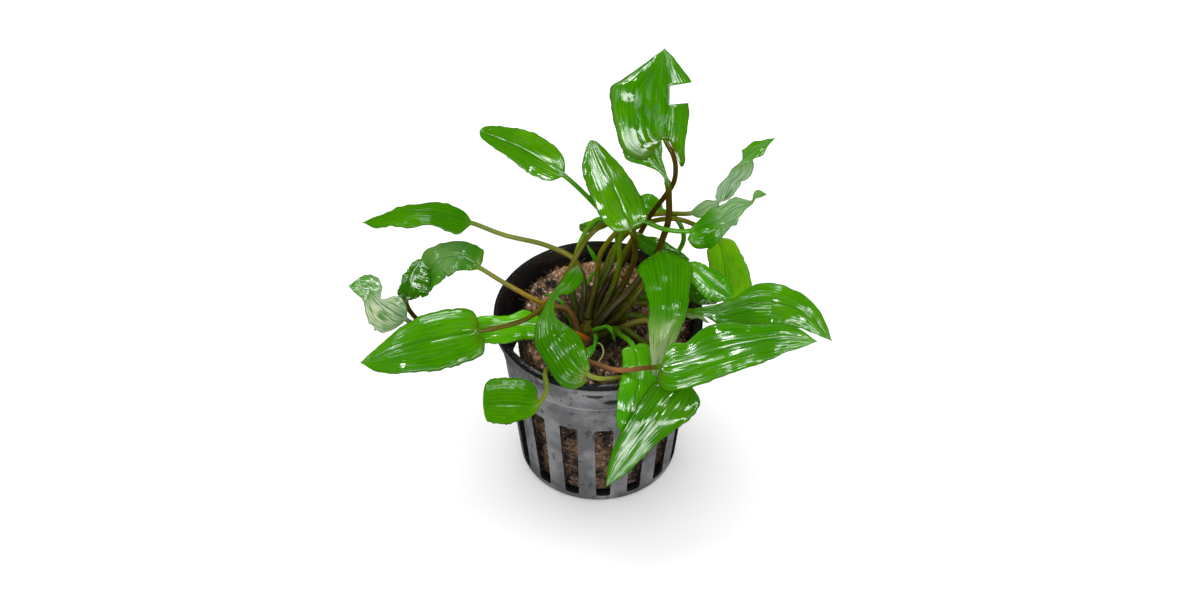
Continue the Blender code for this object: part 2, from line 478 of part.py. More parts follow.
def leaf(name, spec, finish, steps):
    """A leaf in one piece: rings of eight points up its stalk, which then flatten out along its blade."""
    thick = spec.get("thick", 1.0)
    start = foot_point(*spec["foot"], STALK_FOOT_R * thick)
    to_blade = smooth_route([start] + spec["stalk"] + spec["rib"])
    stalk_length = np.linalg.norm(np.diff(to_blade[: 16 * (len(spec["stalk"]) + 1) + 1], axis=0), axis=1).sum()
    blade_length = np.linalg.norm(np.diff(to_blade, axis=0), axis=1).sum() - stalk_length
    count = max(2, round(stalk_length / RING_SPACING))
    wanted = np.array([stalk_length * k / count for k in range(count + 1)]
                      + [stalk_length + blade_length * step for step in steps])
    wanted[0] += 0.01
    wanted[-1] -= 0.01
    places, ways = along(to_blade, wanted)
    fold, arch = spec.get("fold", (8, 8)), spec.get("arch", -25)
    high, waves, phase = spec.get("wave", (0.2, 2, 0))
    lobe, tear = spec.get("lobe", (0.6, 0.6)), spec.get("tear", (2, 2, 0))
    rings = []
    for place, way, length in zip(places, ways, wanted):
        t = max(0.0, (length - stalk_length) / blade_length)
        face = blend(spec["faces"], t)
        up = unit(face - way * (face @ way))
        right = np.cross(way, up)
        r = thick * (STALK_FOOT_R + (STALK_TOP_R - STALK_FOOT_R) * min(1.0, length / stalk_length))
        ring = []
        for k in range(8):
            side, rise = math.cos(k * math.pi / 4), math.sin(k * math.pi / 4)
            if t == 0:
                ring.append(place + r * (side * right + rise * up))
                continue
            reach = (1, 0.5, 0, -0.5, -1, -0.5, 0, 0.5)[k]
            which = 1 if reach > 0 else 0
            width = half_width(spec["right" if which else "left"], t)
            if which and tear[0] < t < tear[1]:
                width = tear[2]
            width = max(width, 0.4, r * (1 - 5 * t))
            angle = math.radians(fold[which] + arch * abs(reach) / 2)
            ripple = high * math.sin(2 * math.pi * waves * t + phase + 1.3 * which) * reach**2 * min(1, width / 2)
            body = BLADE_THICK / 2 + max(0.0, r - BLADE_THICK / 2) * max(0.0, 1 - 2 * t) * (reach == 0)
            out = abs(reach) * width
            point = place + right * math.copysign(out * math.cos(angle), reach)
            point = point + up * (out * math.sin(angle) + ripple + body * (rise if reach else math.copysign(1, rise)))
            ring.append(point - way * lobe[which] * reach**2 * max(0.0, 1 - t / 0.35) ** 2)
        rings.append(ring)
    made = solid(name, *loft(rings), finish)
    soften(made, 50)


def root_curl(finish):
    route = smooth_route(ROOT_CURL)
    length = np.linalg.norm(np.diff(route, axis=0), axis=1).sum()
    wanted = np.linspace(0.01, length - 0.01, 9)
    rings = []
    for place, way in zip(*along(route, wanted)):
        right = unit(np.cross(way, (0, 0, 1)))
        up = np.cross(right, way)
        turns = [2 * math.pi * k / 6 for k in range(6)]
        rings.append([place + ROOT_CURL_R * (math.cos(a) * right + math.sin(a) * up) for a in turns])
    soften(solid("root_curl", *loft(rings), finish), 50)


def main():
    for old in list(bpy.data.objects):
        bpy.data.objects.remove(old)
    net_pot(material("pot_plastic", (0.045, 0.045, 0.05), 0.35))
    rock_wool(material("wool_fibre", (0.14, 0.085, 0.055), 0.95))
    bark = material("root_bark", (0.17, 0.08, 0.03), 0.7)
    solid("rootstock", *loft(root_rings(0)), bark).data.shade_smooth()
    root_curl(material("root_skin", (0.50, 0.48, 0.25), 0.5))
    green = material("leaf_green", (0.06, 0.30, 0.01), 0.25)
    for name, spec in LEAVES.items():
        leaf(name, spec, green, spec.get("steps", BLADE_STEPS))
    young_green = material("young_leaf_green", (0.12, 0.40, 0.02), 0.3)
    for name, spec in YOUNG_LEAVES.items():
        leaf(name, spec, young_green, YOUNG_STEPS)


main()
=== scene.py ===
import math

import bmesh
import bpy
import numpy as np
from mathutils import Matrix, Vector, noise


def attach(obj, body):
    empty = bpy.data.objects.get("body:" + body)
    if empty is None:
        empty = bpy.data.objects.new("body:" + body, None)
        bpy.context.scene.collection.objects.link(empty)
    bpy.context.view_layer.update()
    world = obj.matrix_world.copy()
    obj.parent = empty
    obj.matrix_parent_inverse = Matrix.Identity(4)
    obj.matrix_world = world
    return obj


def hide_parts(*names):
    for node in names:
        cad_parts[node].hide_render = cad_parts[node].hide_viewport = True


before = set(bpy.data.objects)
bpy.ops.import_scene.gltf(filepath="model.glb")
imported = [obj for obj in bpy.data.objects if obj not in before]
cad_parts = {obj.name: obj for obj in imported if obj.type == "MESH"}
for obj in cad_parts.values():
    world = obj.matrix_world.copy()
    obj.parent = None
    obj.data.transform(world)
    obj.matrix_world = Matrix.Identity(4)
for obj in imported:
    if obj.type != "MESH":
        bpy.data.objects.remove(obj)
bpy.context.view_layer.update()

# The net pot
# A thin cup moulded in black plastic, with a lip, sixteen slots round its wall and eight in its floor.
# A Geometry Nodes tree turns the cup from its profile and cuts the slots out of it.

MM = 0.001
POT_HEIGHT = 51.0
FOOT_R = 21.4
NECK_R = 26.2
LIP_R = 27.5
LIP_IN_R = 26.0
LIP_DEPTH = 3.4
NECK_Z = POT_HEIGHT - LIP_DEPTH
WALL = 1.0
FLOOR = 1.4
LINE_Z = 40.0
LINE_STEP = 0.25
REFLECTION_TOP_Z = 49.4
POT_SIDES = 192
SLOTS = 16
SLOT_TURN = math.radians(3.5)
SLOT_LOW_Z = 2.2
SLOT_TOP_Z = 31.0
SLOT_LOW_WIDTH = 3.8
SLOT_TOP_WIDTH = 5.0
SLOT_CORNER = 0.7
CUT_FROM_R = FOOT_R - 3.0
CUT_DEPTH = 12.0
FLOOR_SLOTS = 8
FLOOR_SLOT_WIDTH = 3.0
FLOOR_SLOT_IN_R = 7.0
FLOOR_SLOT_OUT_R = 17.0
PLASTIC_BLACK = (0.012, 0.012, 0.013)
# The two greys are painted reflection of the white floor on the black plastic, the lighter one with dust in
# it.
PLASTIC_REFLECTION_GREY = (0.122, 0.122, 0.128)
PLASTIC_DUST_AND_REFLECTION = (0.235, 0.235, 0.245)
PLASTIC_LINE_HIGHLIGHT = (0.42, 0.42, 0.43)
DENT_SHADE_R = 3.5
DENT_SHADE_SQUASH = 2.2
DENT_SHADES = ((-0.8, -26.2, 46.0), (3.6, -25.6, 43.2), (-15.0, -21.2, 46.6), (6.2, -25.0, 43.6))


def feed(tree, socket, value):
    """Links an input to an output or to the first output of a node, or sets it to a plain value."""
    if isinstance(value, bpy.types.Node):
        value = value.outputs[0]
    if isinstance(value, bpy.types.NodeSocket):
        tree.links.new(value, socket)
    else:
        socket.default_value = value


def add(tree, kind, feeds=None, **options):
    """Adds a node to a tree, sets its options and feeds its inputs. A list is fed to one input in turn."""
    made = tree.nodes.new(kind)
    for key, value in options.items():
        setattr(made, key, value)
    for key, value in (feeds or {}).items():
        for one in value if isinstance(value, list) else [value]:
            feed(tree, made.inputs[key], one)
    return made


def maths(tree, operation, *values):
    """The result of a math node."""
    made = add(tree, "ShaderNodeMath", operation=operation)
    for socket, value in zip(made.inputs, values):
        feed(tree, socket, value)
    return made.outputs[0]


def plus(tree, first, second):
    return maths(tree, "ADD", first, second)


def times(tree, first, second):
    return maths(tree, "MULTIPLY", first, second)


def parts_of(tree, vector):
    """The X, Y and Z of a vector."""
    return add(tree, "ShaderNodeSeparateXYZ", {"Vector": vector}).outputs


def joined(tree, **parts):
    """A vector made of its X, Y and Z, with 0 where none is given."""
    return add(tree, "ShaderNodeCombineXYZ", parts).outputs[0]


def new_finish(name, roughness, ior=1.5):
    """A material with its Principled shader, and the coordinates of the object it is on."""
    made = bpy.data.materials.new(name)
    made.use_nodes = True
    shader = made.node_tree.nodes["Principled BSDF"]
    shader.inputs["Roughness"].default_value = roughness
    shader.inputs["IOR"].default_value = ior
    coords = made.node_tree.nodes.new("ShaderNodeTexCoord")
    return made, made.node_tree, shader, coords.outputs["Object"]


def mixed(tree, share, first, second, blend="MIX"):
    """Mixes two colours, given as colours or as sockets."""
    made = add(tree, "ShaderNodeMix", data_type="RGBA", blend_type=blend)
    for number, value in ((0, share), (6, first), (7, second)):
        feed(tree, made.inputs[number], (*value, 1.0) if isinstance(value, tuple) else value)
    return made.outputs[2]


def ranged(tree, value, low, high, to_low, to_high, kind="SMOOTHSTEP"):
    """Maps low to to_low and high to to_high, with a soft start and end unless kind says otherwise."""
    made = add(tree, "ShaderNodeMapRange", interpolation_type=kind)
    for socket, number in zip(made.inputs, (value, low, high, to_low, to_high)):
        feed(tree, socket, number)
    return made.outputs[0]


def grain(tree, where, scale, detail=3.0, rough=0.5, stretch=None, twist=0.0):
    """Noise at a scale in turns per metre, stretched along the axes if asked."""
    if stretch:
        where = add(tree, "ShaderNodeMapping", {"Vector": where, "Scale": stretch})
    feeds = {"Vector": where, "Scale": scale, "Detail": detail, "Roughness": rough, "Distortion": twist}
    return add(tree, "ShaderNodeTexNoise", feeds).outputs[0]


def bumped(tree, shader, height, strength, distance):
    """Lets light fall on the surface as if it rose by height times distance, in metres."""
    bump = add(tree, "ShaderNodeBump", {"Height": height, "Strength": strength, "Distance": distance})
    tree.links.new(bump.outputs[0], shader.inputs["Normal"])


def outer_radius(z):
    """The pot's outside below its lip."""
    return FOOT_R + (NECK_R - FOOT_R) * z / NECK_Z


pot_plastic, tree, shader, where = new_finish("pot_plastic", 0.3)
scuffs = grain(tree, where, 90, 5, 0.6)
specks = grain(tree, where, 650, 2, 0.5, (1, 1, 0.6))
marks = ranged(tree, specks, 0.58, 0.68, 0.0, 1.0)
# The outer wall is painted grey, a painted reflection of the white floor, with lighter dusty patches; the
# inside and the top of the lip stay black.
dusty_patches = ranged(tree, scuffs, 0.42, 0.68, 0.0, 1.0)
tone = mixed(tree, dusty_patches, PLASTIC_REFLECTION_GREY, PLASTIC_DUST_AND_REFLECTION)
facing = add(tree, "ShaderNodeNewGeometry").outputs["Normal"]
flat_out = add(tree, "ShaderNodeVectorMath", {0: where, 1: (1, 1, 0)}, operation="MULTIPLY")
flat_out = add(tree, "ShaderNodeVectorMath", {0: flat_out}, operation="NORMALIZE")
outward = add(tree, "ShaderNodeVectorMath", {0: facing, 1: flat_out}, operation="DOT_PRODUCT")
level = parts_of(tree, where)["Z"]
# The painted reflection stops just below the top of the lip.
under_lip = ranged(tree, level, (REFLECTION_TOP_Z - 0.2) * MM, (REFLECTION_TOP_Z + 0.2) * MM, 1, 0)
outside = times(tree, ranged(tree, outward.outputs["Value"], 0.55, 0.85, 0, 1), under_lip)
tone = mixed(tree, outside, PLASTIC_BLACK, tone)
tone = mixed(tree, times(tree, marks, 0.5), tone, PLASTIC_BLACK)
# A thin pale band along the step round the wall is a painted highlight, broken up by the scuff noise.
over_line = ranged(tree, level, (LINE_Z - 0.1) * MM, (LINE_Z + 0.1) * MM, 0, 1)
line = times(tree, over_line, ranged(tree, level, (LINE_Z + 0.3) * MM, (LINE_Z + 0.5) * MM, 1, 0))
tone = mixed(tree, times(tree, times(tree, line, outside), scuffs), tone, PLASTIC_LINE_HIGHLIGHT)
# Four dark spots under the lip are painted shade of small dents in the wall.
for x, y, z in DENT_SHADES:
    squashed = add(tree, "ShaderNodeVectorMath", {0: where, 1: (1, 1, DENT_SHADE_SQUASH)}, operation="MULTIPLY")
    centre = (x * MM, y * MM, z * DENT_SHADE_SQUASH * MM)
    gap = add(tree, "ShaderNodeVectorMath", {0: squashed, 1: centre}, operation="DISTANCE").outputs["Value"]
    ragged = plus(tree, gap, times(tree, grain(tree, where, 500, 3), 2 * MM))
    dent_shade = ranged(tree, ragged, DENT_SHADE_R * MM, 0.8 * DENT_SHADE_R * MM, 0, 0.85)
    tone = mixed(tree, dent_shade, tone, PLASTIC_BLACK)
tree.links.new(tone, shader.inputs["Base Color"])
worn = plus(tree, times(tree, outside, 0.14), ranged(tree, scuffs, 0.3, 0.7, 0.14, 0.34))
tree.links.new(worn, shader.inputs["Roughness"])
dents = grain(tree, where, 160, 3, 0.55, (1, 1, 0.5))
bumped(tree, shader, plus(tree, dents, times(tree, marks, -0.25)), 0.35, 0.6 * MM)


def new_tree(name, numbers):
    """A Geometry Nodes tree with one named input for each number, and its input sockets."""
    tree = bpy.data.node_groups.new(name, "GeometryNodeTree")
    tree.interface.new_socket("Geometry", in_out="INPUT", socket_type="NodeSocketGeometry")
    for label, value in numbers.items():
        kind = "NodeSocketInt" if isinstance(value, int) else "NodeSocketFloat"
        tree.interface.new_socket(label, in_out="INPUT", socket_type=kind)
    tree.interface.new_socket("Geometry", in_out="OUTPUT", socket_type="NodeSocketGeometry")
    return tree, tree.nodes.new("NodeGroupInput").outputs


def grow(tree, last, finish, source, numbers):
    """Ends the tree and runs it on the source object with those numbers. The result becomes its mesh."""
    real = add(tree, "GeometryNodeRealizeInstances", {"Geometry": last})
    dressed = add(tree, "GeometryNodeSetMaterial", {"Geometry": real, "Material": finish})
    end = tree.nodes.new("NodeGroupOutput")
    tree.links.new(dressed.outputs[0], end.inputs[0])
    modifier = source.modifiers.new(tree.name, "NODES")
    modifier.node_group = tree
    for item in tree.interface.items_tree:
        if item.in_out == "INPUT" and item.name in numbers:
            modifier[item.identifier] = numbers[item.name]
    graph = bpy.context.evaluated_depsgraph_get()
    mesh = bpy.data.meshes.new_from_object(source.evaluated_get(graph))
    source.modifiers.clear()
    mesh.name = source.name
    source.data = mesh


def place(name, mesh):
    """Puts a mesh in the scene."""
    made = bpy.data.objects.new(name, mesh)
    bpy.context.scene.collection.objects.link(made)
    return made


LINE_R = outer_radius(LINE_Z)
profile = [
    (0.0, FLOOR),
    (outer_radius(FLOOR) - WALL - 0.5, FLOOR),
    (outer_radius(FLOOR) - WALL, FLOOR + 0.5),
    (LIP_IN_R - 0.7, NECK_Z),
    (LIP_IN_R, POT_HEIGHT - 0.6),
    (LIP_IN_R + 0.12, POT_HEIGHT - 0.2),
    (LIP_IN_R + 0.4, POT_HEIGHT),
    (LIP_R - 0.45, POT_HEIGHT),
    (LIP_R - 0.12, POT_HEIGHT - 0.15),
    (LIP_R, POT_HEIGHT - 0.5),
    (LIP_R, NECK_Z + 0.3),
    (LIP_R - 0.15, NECK_Z + 0.05),
    (LIP_R - 0.4, NECK_Z),
    (NECK_R + 0.1, NECK_Z),
    (NECK_R - 0.02, NECK_Z - 0.2),
    (LINE_R + 0.03, LINE_Z + 0.25),
    (LINE_R - 0.03, LINE_Z - 0.05),
    (LINE_R - LINE_STEP, LINE_Z - 0.3),
    (outer_radius(0.9) - 0.1, 0.9),
    (outer_radius(0.6) - 0.3, 0.35),
    (FOOT_R - 0.8, 0.0),
    (0.0, 0.0),
]


def chain(name, points):
    """A mesh of points in metres, each joined to the next by an edge."""
    mesh = bpy.data.meshes.new(name)
    mesh.from_pydata(points, [(k, k + 1) for k in range(len(points) - 1)], [])
    return mesh


pot = place("pot", chain("pot_profile", [(r * MM, 0, z * MM) for r, z in profile]))

sizes = {
    "Sides": POT_SIDES,
    "Profile Points": len(profile),
    "Slots": SLOTS,
    "Slot Turn": SLOT_TURN,
    "Slot Height": (SLOT_TOP_Z - SLOT_LOW_Z) * MM,
    "Slot Middle": (SLOT_TOP_Z + SLOT_LOW_Z) / 2 * MM,
    "Slot Low Width": SLOT_LOW_WIDTH * MM,
    "Slot Top Width": SLOT_TOP_WIDTH * MM,
    "Slot Corner": SLOT_CORNER * MM,
    "Cut From": CUT_FROM_R * MM,
    "Cut Depth": CUT_DEPTH * MM,
    "Floor Slots": FLOOR_SLOTS,
    "Floor Slot Width": FLOOR_SLOT_WIDTH * MM,
    "Floor Slot Depth": 2 * (FLOOR + 0.4) * MM,
    "Floor Slot Length": (FLOOR_SLOT_OUT_R - FLOOR_SLOT_IN_R) * MM,
    "Floor Slot Middle": (FLOOR_SLOT_OUT_R + FLOOR_SLOT_IN_R) / 2 * MM,
}
tree, given = new_tree("turned_and_slotted", sizes)
rows, points = given["Sides"], given["Profile Points"]
index = add(tree, "GeometryNodeInputIndex")
grid = add(tree, "GeometryNodeMeshGrid", {"Vertices X": plus(tree, rows, 1.0), "Vertices Y": points})
column = maths(tree, "FLOOR", maths(tree, "DIVIDE", plus(tree, index, 0.5), points))
row = maths(tree, "SUBTRACT", index, times(tree, column, points))
sample = add(tree, "GeometryNodeSampleIndex", data_type="FLOAT_VECTOR")
feed(tree, sample.inputs["Geometry"], given["Geometry"])
feed(tree, sample.inputs["Value"], add(tree, "GeometryNodeInputPosition"))
feed(tree, sample.inputs["Index"], row)
at = parts_of(tree, sample)
turn = times(tree, maths(tree, "DIVIDE", column, rows), 2 * math.pi)
spun = joined(
    tree,
    X=times(tree, at["X"], maths(tree, "COSINE", turn)),
    Y=times(tree, at["X"], maths(tree, "SINE", turn)),
    Z=at["Z"],
)
cup = add(tree, "GeometryNodeSetPosition", {"Geometry": grid, "Position": spun})
cup = add(tree, "GeometryNodeMergeByDistance", {"Geometry": cup, "Distance": 1e-6})

slot = add(tree, "GeometryNodeCurvePrimitiveQuadrilateral", {
    "Height": given["Slot Height"], "Bottom Width": given["Slot Low Width"],
    "Top Width": given["Slot Top Width"], "Offset": 0.0,
}, mode="TRAPEZOID")
rounding = {"Curve": slot, "Count": 5, "Radius": given["Slot Corner"]}
slot = add(tree, "GeometryNodeFilletCurve", rounding, mode="POLY")
slot = add(tree, "GeometryNodeFillCurve", {"Curve": slot}, mode="NGONS")
slot = add(tree, "GeometryNodeTransform", {
    "Geometry": slot, "Rotation": (math.pi / 2, 0, 0),
    "Translation": joined(tree, Y=times(tree, given["Cut From"], -1.0), Z=given["Slot Middle"]),
})
pushed = add(tree, "GeometryNodeExtrudeMesh", {
    "Mesh": slot, "Offset": joined(tree, Y=times(tree, given["Cut Depth"], -1.0)),
    "Offset Scale": 1.0, "Individual": False,
}, mode="FACES")
back = add(tree, "GeometryNodeFlipFaces", {"Mesh": slot})
cutter = add(tree, "GeometryNodeJoinGeometry", {"Geometry": [pushed, back]})
cutter = add(tree, "GeometryNodeMergeByDistance", {"Geometry": cutter, "Distance": 1e-7})
bar = add(tree, "GeometryNodeMeshCube", {"Size": joined(
    tree, X=given["Floor Slot Length"], Y=given["Floor Slot Width"], Z=given["Floor Slot Depth"],
)})
bar = add(tree, "GeometryNodeTransform", {
    "Geometry": bar, "Translation": joined(tree, X=given["Floor Slot Middle"]),
})


def ring_of(count, shape, start):
    """Copies of a shape turned evenly round the pot's axis."""
    dots = add(tree, "GeometryNodePoints", {"Count": count})
    share = maths(tree, "DIVIDE", times(tree, index, 2 * math.pi), count)
    copies = add(tree, "GeometryNodeInstanceOnPoints", {
        "Points": dots, "Instance": shape, "Rotation": joined(tree, Z=plus(tree, share, start)),
    })
    return add(tree, "GeometryNodeRealizeInstances", {"Geometry": copies})


half_step = maths(tree, "DIVIDE", math.pi, given["Floor Slots"])
for shape in (
    ring_of(given["Slots"], cutter, given["Slot Turn"]),
    ring_of(given["Floor Slots"], bar, half_step),
):
    cup = add(tree, "GeometryNodeMeshBoolean", {"Mesh 1": cup, "Mesh 2": shape},
              operation="DIFFERENCE", solver="EXACT")
grow(tree, cup, pot_plastic, pot, sizes)


def faces_out(mesh, angle=None):
    """Points every face outwards and shades the mesh smooth, with sharp edges past an angle."""
    work = bmesh.new()
    work.from_mesh(mesh)
    bmesh.ops.recalc_face_normals(work, faces=work.faces)
    work.to_mesh(mesh)
    work.free()
    mesh.shade_smooth()
    if angle:
        mesh.set_sharp_from_angle(angle=math.radians(angle))


faces_out(pot.data, 35)
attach(pot, "root")
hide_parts("net_pot")


# The rock wool
# A plug of matted mineral fibre that fills the pot, pulled away from the wall on the left, with painted
# shade round the plant and lower down. Its body is lofted here, and Geometry Nodes scatter short curled
# fibres all over it.

WOOL_FOOT_R = 18.8
WOOL_TOP_R = 22.6
WOOL_TOP_Z = 46.8
WOOL_LOW_Z = FLOOR + 0.35
WOOL_EDGE = 0.9
WOOL_RISE = (-0.05, 0.05)
WOOL_CENTRE = (0.7, 0.4)
WOOL_DENT = 2.0
WOOL_DENT_TURN = math.radians(182)
WOOL_DIP = 1.6
WOOL_DIP_R = 12.0
WOOL_SIDES = 192
WOOL_LEVELS = 48
WOOL_TOP_RINGS = 56
ROOT_CENTRE = (-1.5, -3.5, 46.5)
FIBRES_PER_SQUARE_METRE = 1.15e6
FIBRE_LENGTH = 1.9
FIBRE_R = 0.05
FIBRE_CURL = 2.2
FIBRE_LEAN = 1.1
CLEAR_OF_FLOOR = 4.0
WOOL_SHADE_BLACK = (0.005, 0.003, 0.001)
WOOL_PIT_SHADE = (0.005, 0.003, 0.002)
WOOL_TAN = (0.38, 0.215, 0.105)
WOOL_THREAD = (0.31, 0.180, 0.100)
WOOL_CRUMB = (0.66, 0.50, 0.42)
WOOL_FIBRE = (0.34, 0.205, 0.125)

wool_fibre, tree, shader, where = new_finish("wool_fibre", 0.85)
shader.inputs["Specular IOR Level"].default_value = 0.25
clumps = grain(tree, where, 170, 4, 0.6)
threads = grain(tree, where, 900, 3, 0.7, (1, 1, 0.35), 1.5)
# The near-black patches between the tan clumps and crumbs are painted shade in the gaps of the wool.
shade = mixed(tree, ranged(tree, clumps, 0.36, 0.64, 0, 1), WOOL_SHADE_BLACK, WOOL_TAN)
shade = mixed(tree, ranged(tree, threads, 0.40, 0.70, 0, 0.8), shade, WOOL_THREAD)
crumbs = grain(tree, where, 1000, 2, 0.5)
shade = mixed(tree, ranged(tree, crumbs, 0.60, 0.65, 0, 0.9), shade, WOOL_CRUMB)
shade = mixed(tree, ranged(tree, crumbs, 0.44, 0.34, 0, 0.85), shade, WOOL_PIT_SHADE)
own = add(tree, "ShaderNodeAttribute", attribute_name="fibre_tone").outputs["Fac"]
shade = mixed(tree, ranged(tree, own, 0.55, 1.0, 0.0, 0.9, "LINEAR"), shade, WOOL_FIBRE)
# Painted shade: the wool darkens towards the rootstock and lower down in the pot, in uneven patches.
away = add(tree, "ShaderNodeVectorMath", {
    0: where, 1: tuple(c * MM for c in ROOT_CENTRE),
}, operation="DISTANCE").outputs["Value"]
painted_shade = ranged(tree, away, 6 * MM, 18 * MM, 0.2, 1.0)
pits = grain(tree, where, 330, 3, 0.6)
painted_shade = times(tree, painted_shade, ranged(tree, pits, 0.38, 0.56, 0.35, 1.75))
painted_shade = times(tree, painted_shade, ranged(tree, parts_of(tree, where)["Z"], 30 * MM, 42 * MM, 0.42, 1.0))
grey = add(tree, "ShaderNodeCombineColor", {"Red": painted_shade, "Green": painted_shade, "Blue": painted_shade})
shade = mixed(tree, 1.0, shade, grey, "MULTIPLY")
tree.links.new(shade, shader.inputs["Base Color"])
bumped(tree, shader, plus(tree, threads, crumbs), 0.8, 0.8 * MM)


def wool_top_z(x, y):
    """The wool's top, which sinks a little towards the rootstock."""
    gap = math.hypot(x - ROOT_CENTRE[0], y - ROOT_CENTRE[1])
    dip = WOOL_DIP * math.exp(-((gap / WOOL_DIP_R) ** 2))
    return WOOL_TOP_Z + WOOL_RISE[0] * x + WOOL_RISE[1] * y - dip


def tuft(x, y, z, size):
    """Soft lumps of about that size in mm, up and down by about one."""
    return noise.fractal(Vector((x, y, z)) / size, 0.9, 2.1, 4)


def lofted(name, rings):
    """A mesh in metres through rings of points in mm, closed at both ends."""
    rings = np.array(rings, float) * MM
    levels, count = rings.shape[:2]
    k = np.arange(count)
    after = (k + 1) % count
    faces = []
    for start in range(0, (levels - 1) * count, count):
        faces += np.stack([start + k, start + after, start + count + after, start + count + k], 1).tolist()
    faces += [tuple(range(count)), tuple(range((levels - 1) * count, levels * count))]
    mesh = bpy.data.meshes.new(name)
    mesh.from_pydata(rings.reshape(-1, 3).tolist(), [], faces)
    return mesh


rings = []
for level in range(WOOL_LEVELS + 1):
    share = level / WOOL_LEVELS
    ring = []
    for k in range(WOOL_SIDES):
        a = 2 * math.pi * k / WOOL_SIDES
        turned = abs((a - WOOL_DENT_TURN + math.pi) % (2 * math.pi) - math.pi)
        dent = WOOL_DENT * math.exp(-((turned / 0.55) ** 2)) * share
        r = WOOL_FOOT_R + (WOOL_TOP_R - WOOL_FOOT_R) * share - dent
        mid_x, mid_y = WOOL_CENTRE[0] * share, WOOL_CENTRE[1] * share
        x, y = mid_x + r * math.cos(a), mid_y + r * math.sin(a)
        z = WOOL_LOW_Z + (wool_top_z(x, y) - WOOL_EDGE - WOOL_LOW_Z) * share
        r += 0.75 * tuft(x, y, z, 5.0) * (0.4 + 0.6 * share)
        ring.append((mid_x + r * math.cos(a), mid_y + r * math.sin(a), z))
    rings.append(ring)
rim = rings[-1]
for level in range(1, WOOL_TOP_RINGS):
    share = 1 - level / WOOL_TOP_RINGS
    ring = []
    for x, y, z in rim:
        x, y = WOOL_CENTRE[0] + (x - WOOL_CENTRE[0]) * share, WOOL_CENTRE[1] + (y - WOOL_CENTRE[1]) * share
        raised = WOOL_EDGE * math.sqrt(min(1.0, (1 - share) * 12))
        lumps = 1.4 * tuft(x, y, 3.0, 4.0) + 1.2 * tuft(x, y, 9.0, 1.3)
        ring.append((x, y, wool_top_z(x, y) - WOOL_EDGE + raised + lumps))
    rings.append(ring)
wool = place("rock_wool_plug", lofted("rock_wool_plug", rings))
faces_out(wool.data)

sizes = {
    "Fibres": FIBRES_PER_SQUARE_METRE,
    "Length": FIBRE_LENGTH * MM,
    "Thickness": FIBRE_R * MM,
    "Curl": FIBRE_CURL * MM,
    "Clear Of Floor": CLEAR_OF_FLOOR * MM,
}
tree, given = new_tree("matted_fibres", sizes)
body = given["Geometry"]
height = parts_of(tree, add(tree, "GeometryNodeInputPosition"))["Z"]
spread = add(tree, "GeometryNodeDistributePointsOnFaces", {
    "Mesh": body, "Density": given["Fibres"], "Seed": 4,
    "Selection": maths(tree, "GREATER_THAN", height, given["Clear Of Floor"]),
}, distribute_method="RANDOM")
lean = add(tree, "FunctionNodeRandomValue", {
    0: (-FIBRE_LEAN, -FIBRE_LEAN, 0), 1: (FIBRE_LEAN, FIBRE_LEAN, 6.28),
}, data_type="FLOAT_VECTOR")
stand = add(tree, "FunctionNodeRotateRotation", {
    "Rotation": spread.outputs["Rotation"],
    "Rotate By": add(tree, "FunctionNodeEulerToRotation", {"Euler": lean}),
}, rotation_space="LOCAL")
sized = add(tree, "FunctionNodeRandomValue", {2: 0.5, 3: 1.3}, data_type="FLOAT")
strand = add(tree, "GeometryNodeCurvePrimitiveLine", {
    "End": joined(tree, X=given["Length"], Z=times(tree, given["Length"], 0.22)),
})
strand = add(tree, "GeometryNodeResampleCurve", {"Curve": strand, "Count": 4}, mode="COUNT")
laid = add(tree, "GeometryNodeInstanceOnPoints", {
    "Points": spread.outputs["Points"], "Instance": strand,
    "Rotation": stand, "Scale": sized.outputs[1],
})
tone = add(tree, "FunctionNodeRandomValue", {2: 0.0, 3: 1.0}, data_type="FLOAT")
laid = add(tree, "GeometryNodeStoreNamedAttribute", {
    "Geometry": laid, "Name": "fibre_tone", "Value": tone.outputs[1],
}, data_type="FLOAT", domain="INSTANCE")
laid = add(tree, "GeometryNodeRealizeInstances", {"Geometry": laid})
along_it = add(tree, "GeometryNodeSplineParameter").outputs["Factor"]
kinks = add(tree, "ShaderNodeTexNoise", {"Scale": 420.0, "Detail": 1.0, "Roughness": 0.5})
kinks = add(tree, "ShaderNodeVectorMath", {
    0: kinks.outputs["Color"], 1: (0.5, 0.5, 0.5),
}, operation="SUBTRACT")
kinks = add(tree, "ShaderNodeVectorMath", {
    0: kinks, "Scale": times(tree, given["Curl"], along_it),
}, operation="SCALE")
curled = add(tree, "GeometryNodeSetPosition", {"Geometry": laid, "Offset": kinks})


def round_wire(tree, sides, radius):
    """A circle to sweep along a curve."""
    feeds = {"Resolution": sides, "Radius": radius}
    return add(tree, "GeometryNodeCurvePrimitiveCircle", feeds, mode="RADIUS").outputs[0]


threads = add(tree, "GeometryNodeCurveToMesh", {
    "Curve": curled, "Profile Curve": round_wire(tree, 3, given["Thickness"]),
})
fibres = place("rock_wool_fibres", wool.data.copy())
grow(tree, threads, wool_fibre, fibres, sizes)
fibres.data.shade_smooth()
wool.data.materials.append(wool_fibre)
for piece in (wool, fibres):
    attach(piece, "root")
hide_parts("rock_wool")


# The rootstock and the root that curls out of it
# A short knobbly stem, half sunk in the wool, brown with old leaf scars and sheaths, and a thin pale root
# that has grown up and over the wool in front of it. The stem is lofted here, and a Geometry Nodes tree
# gives the root its round, tapering skin.

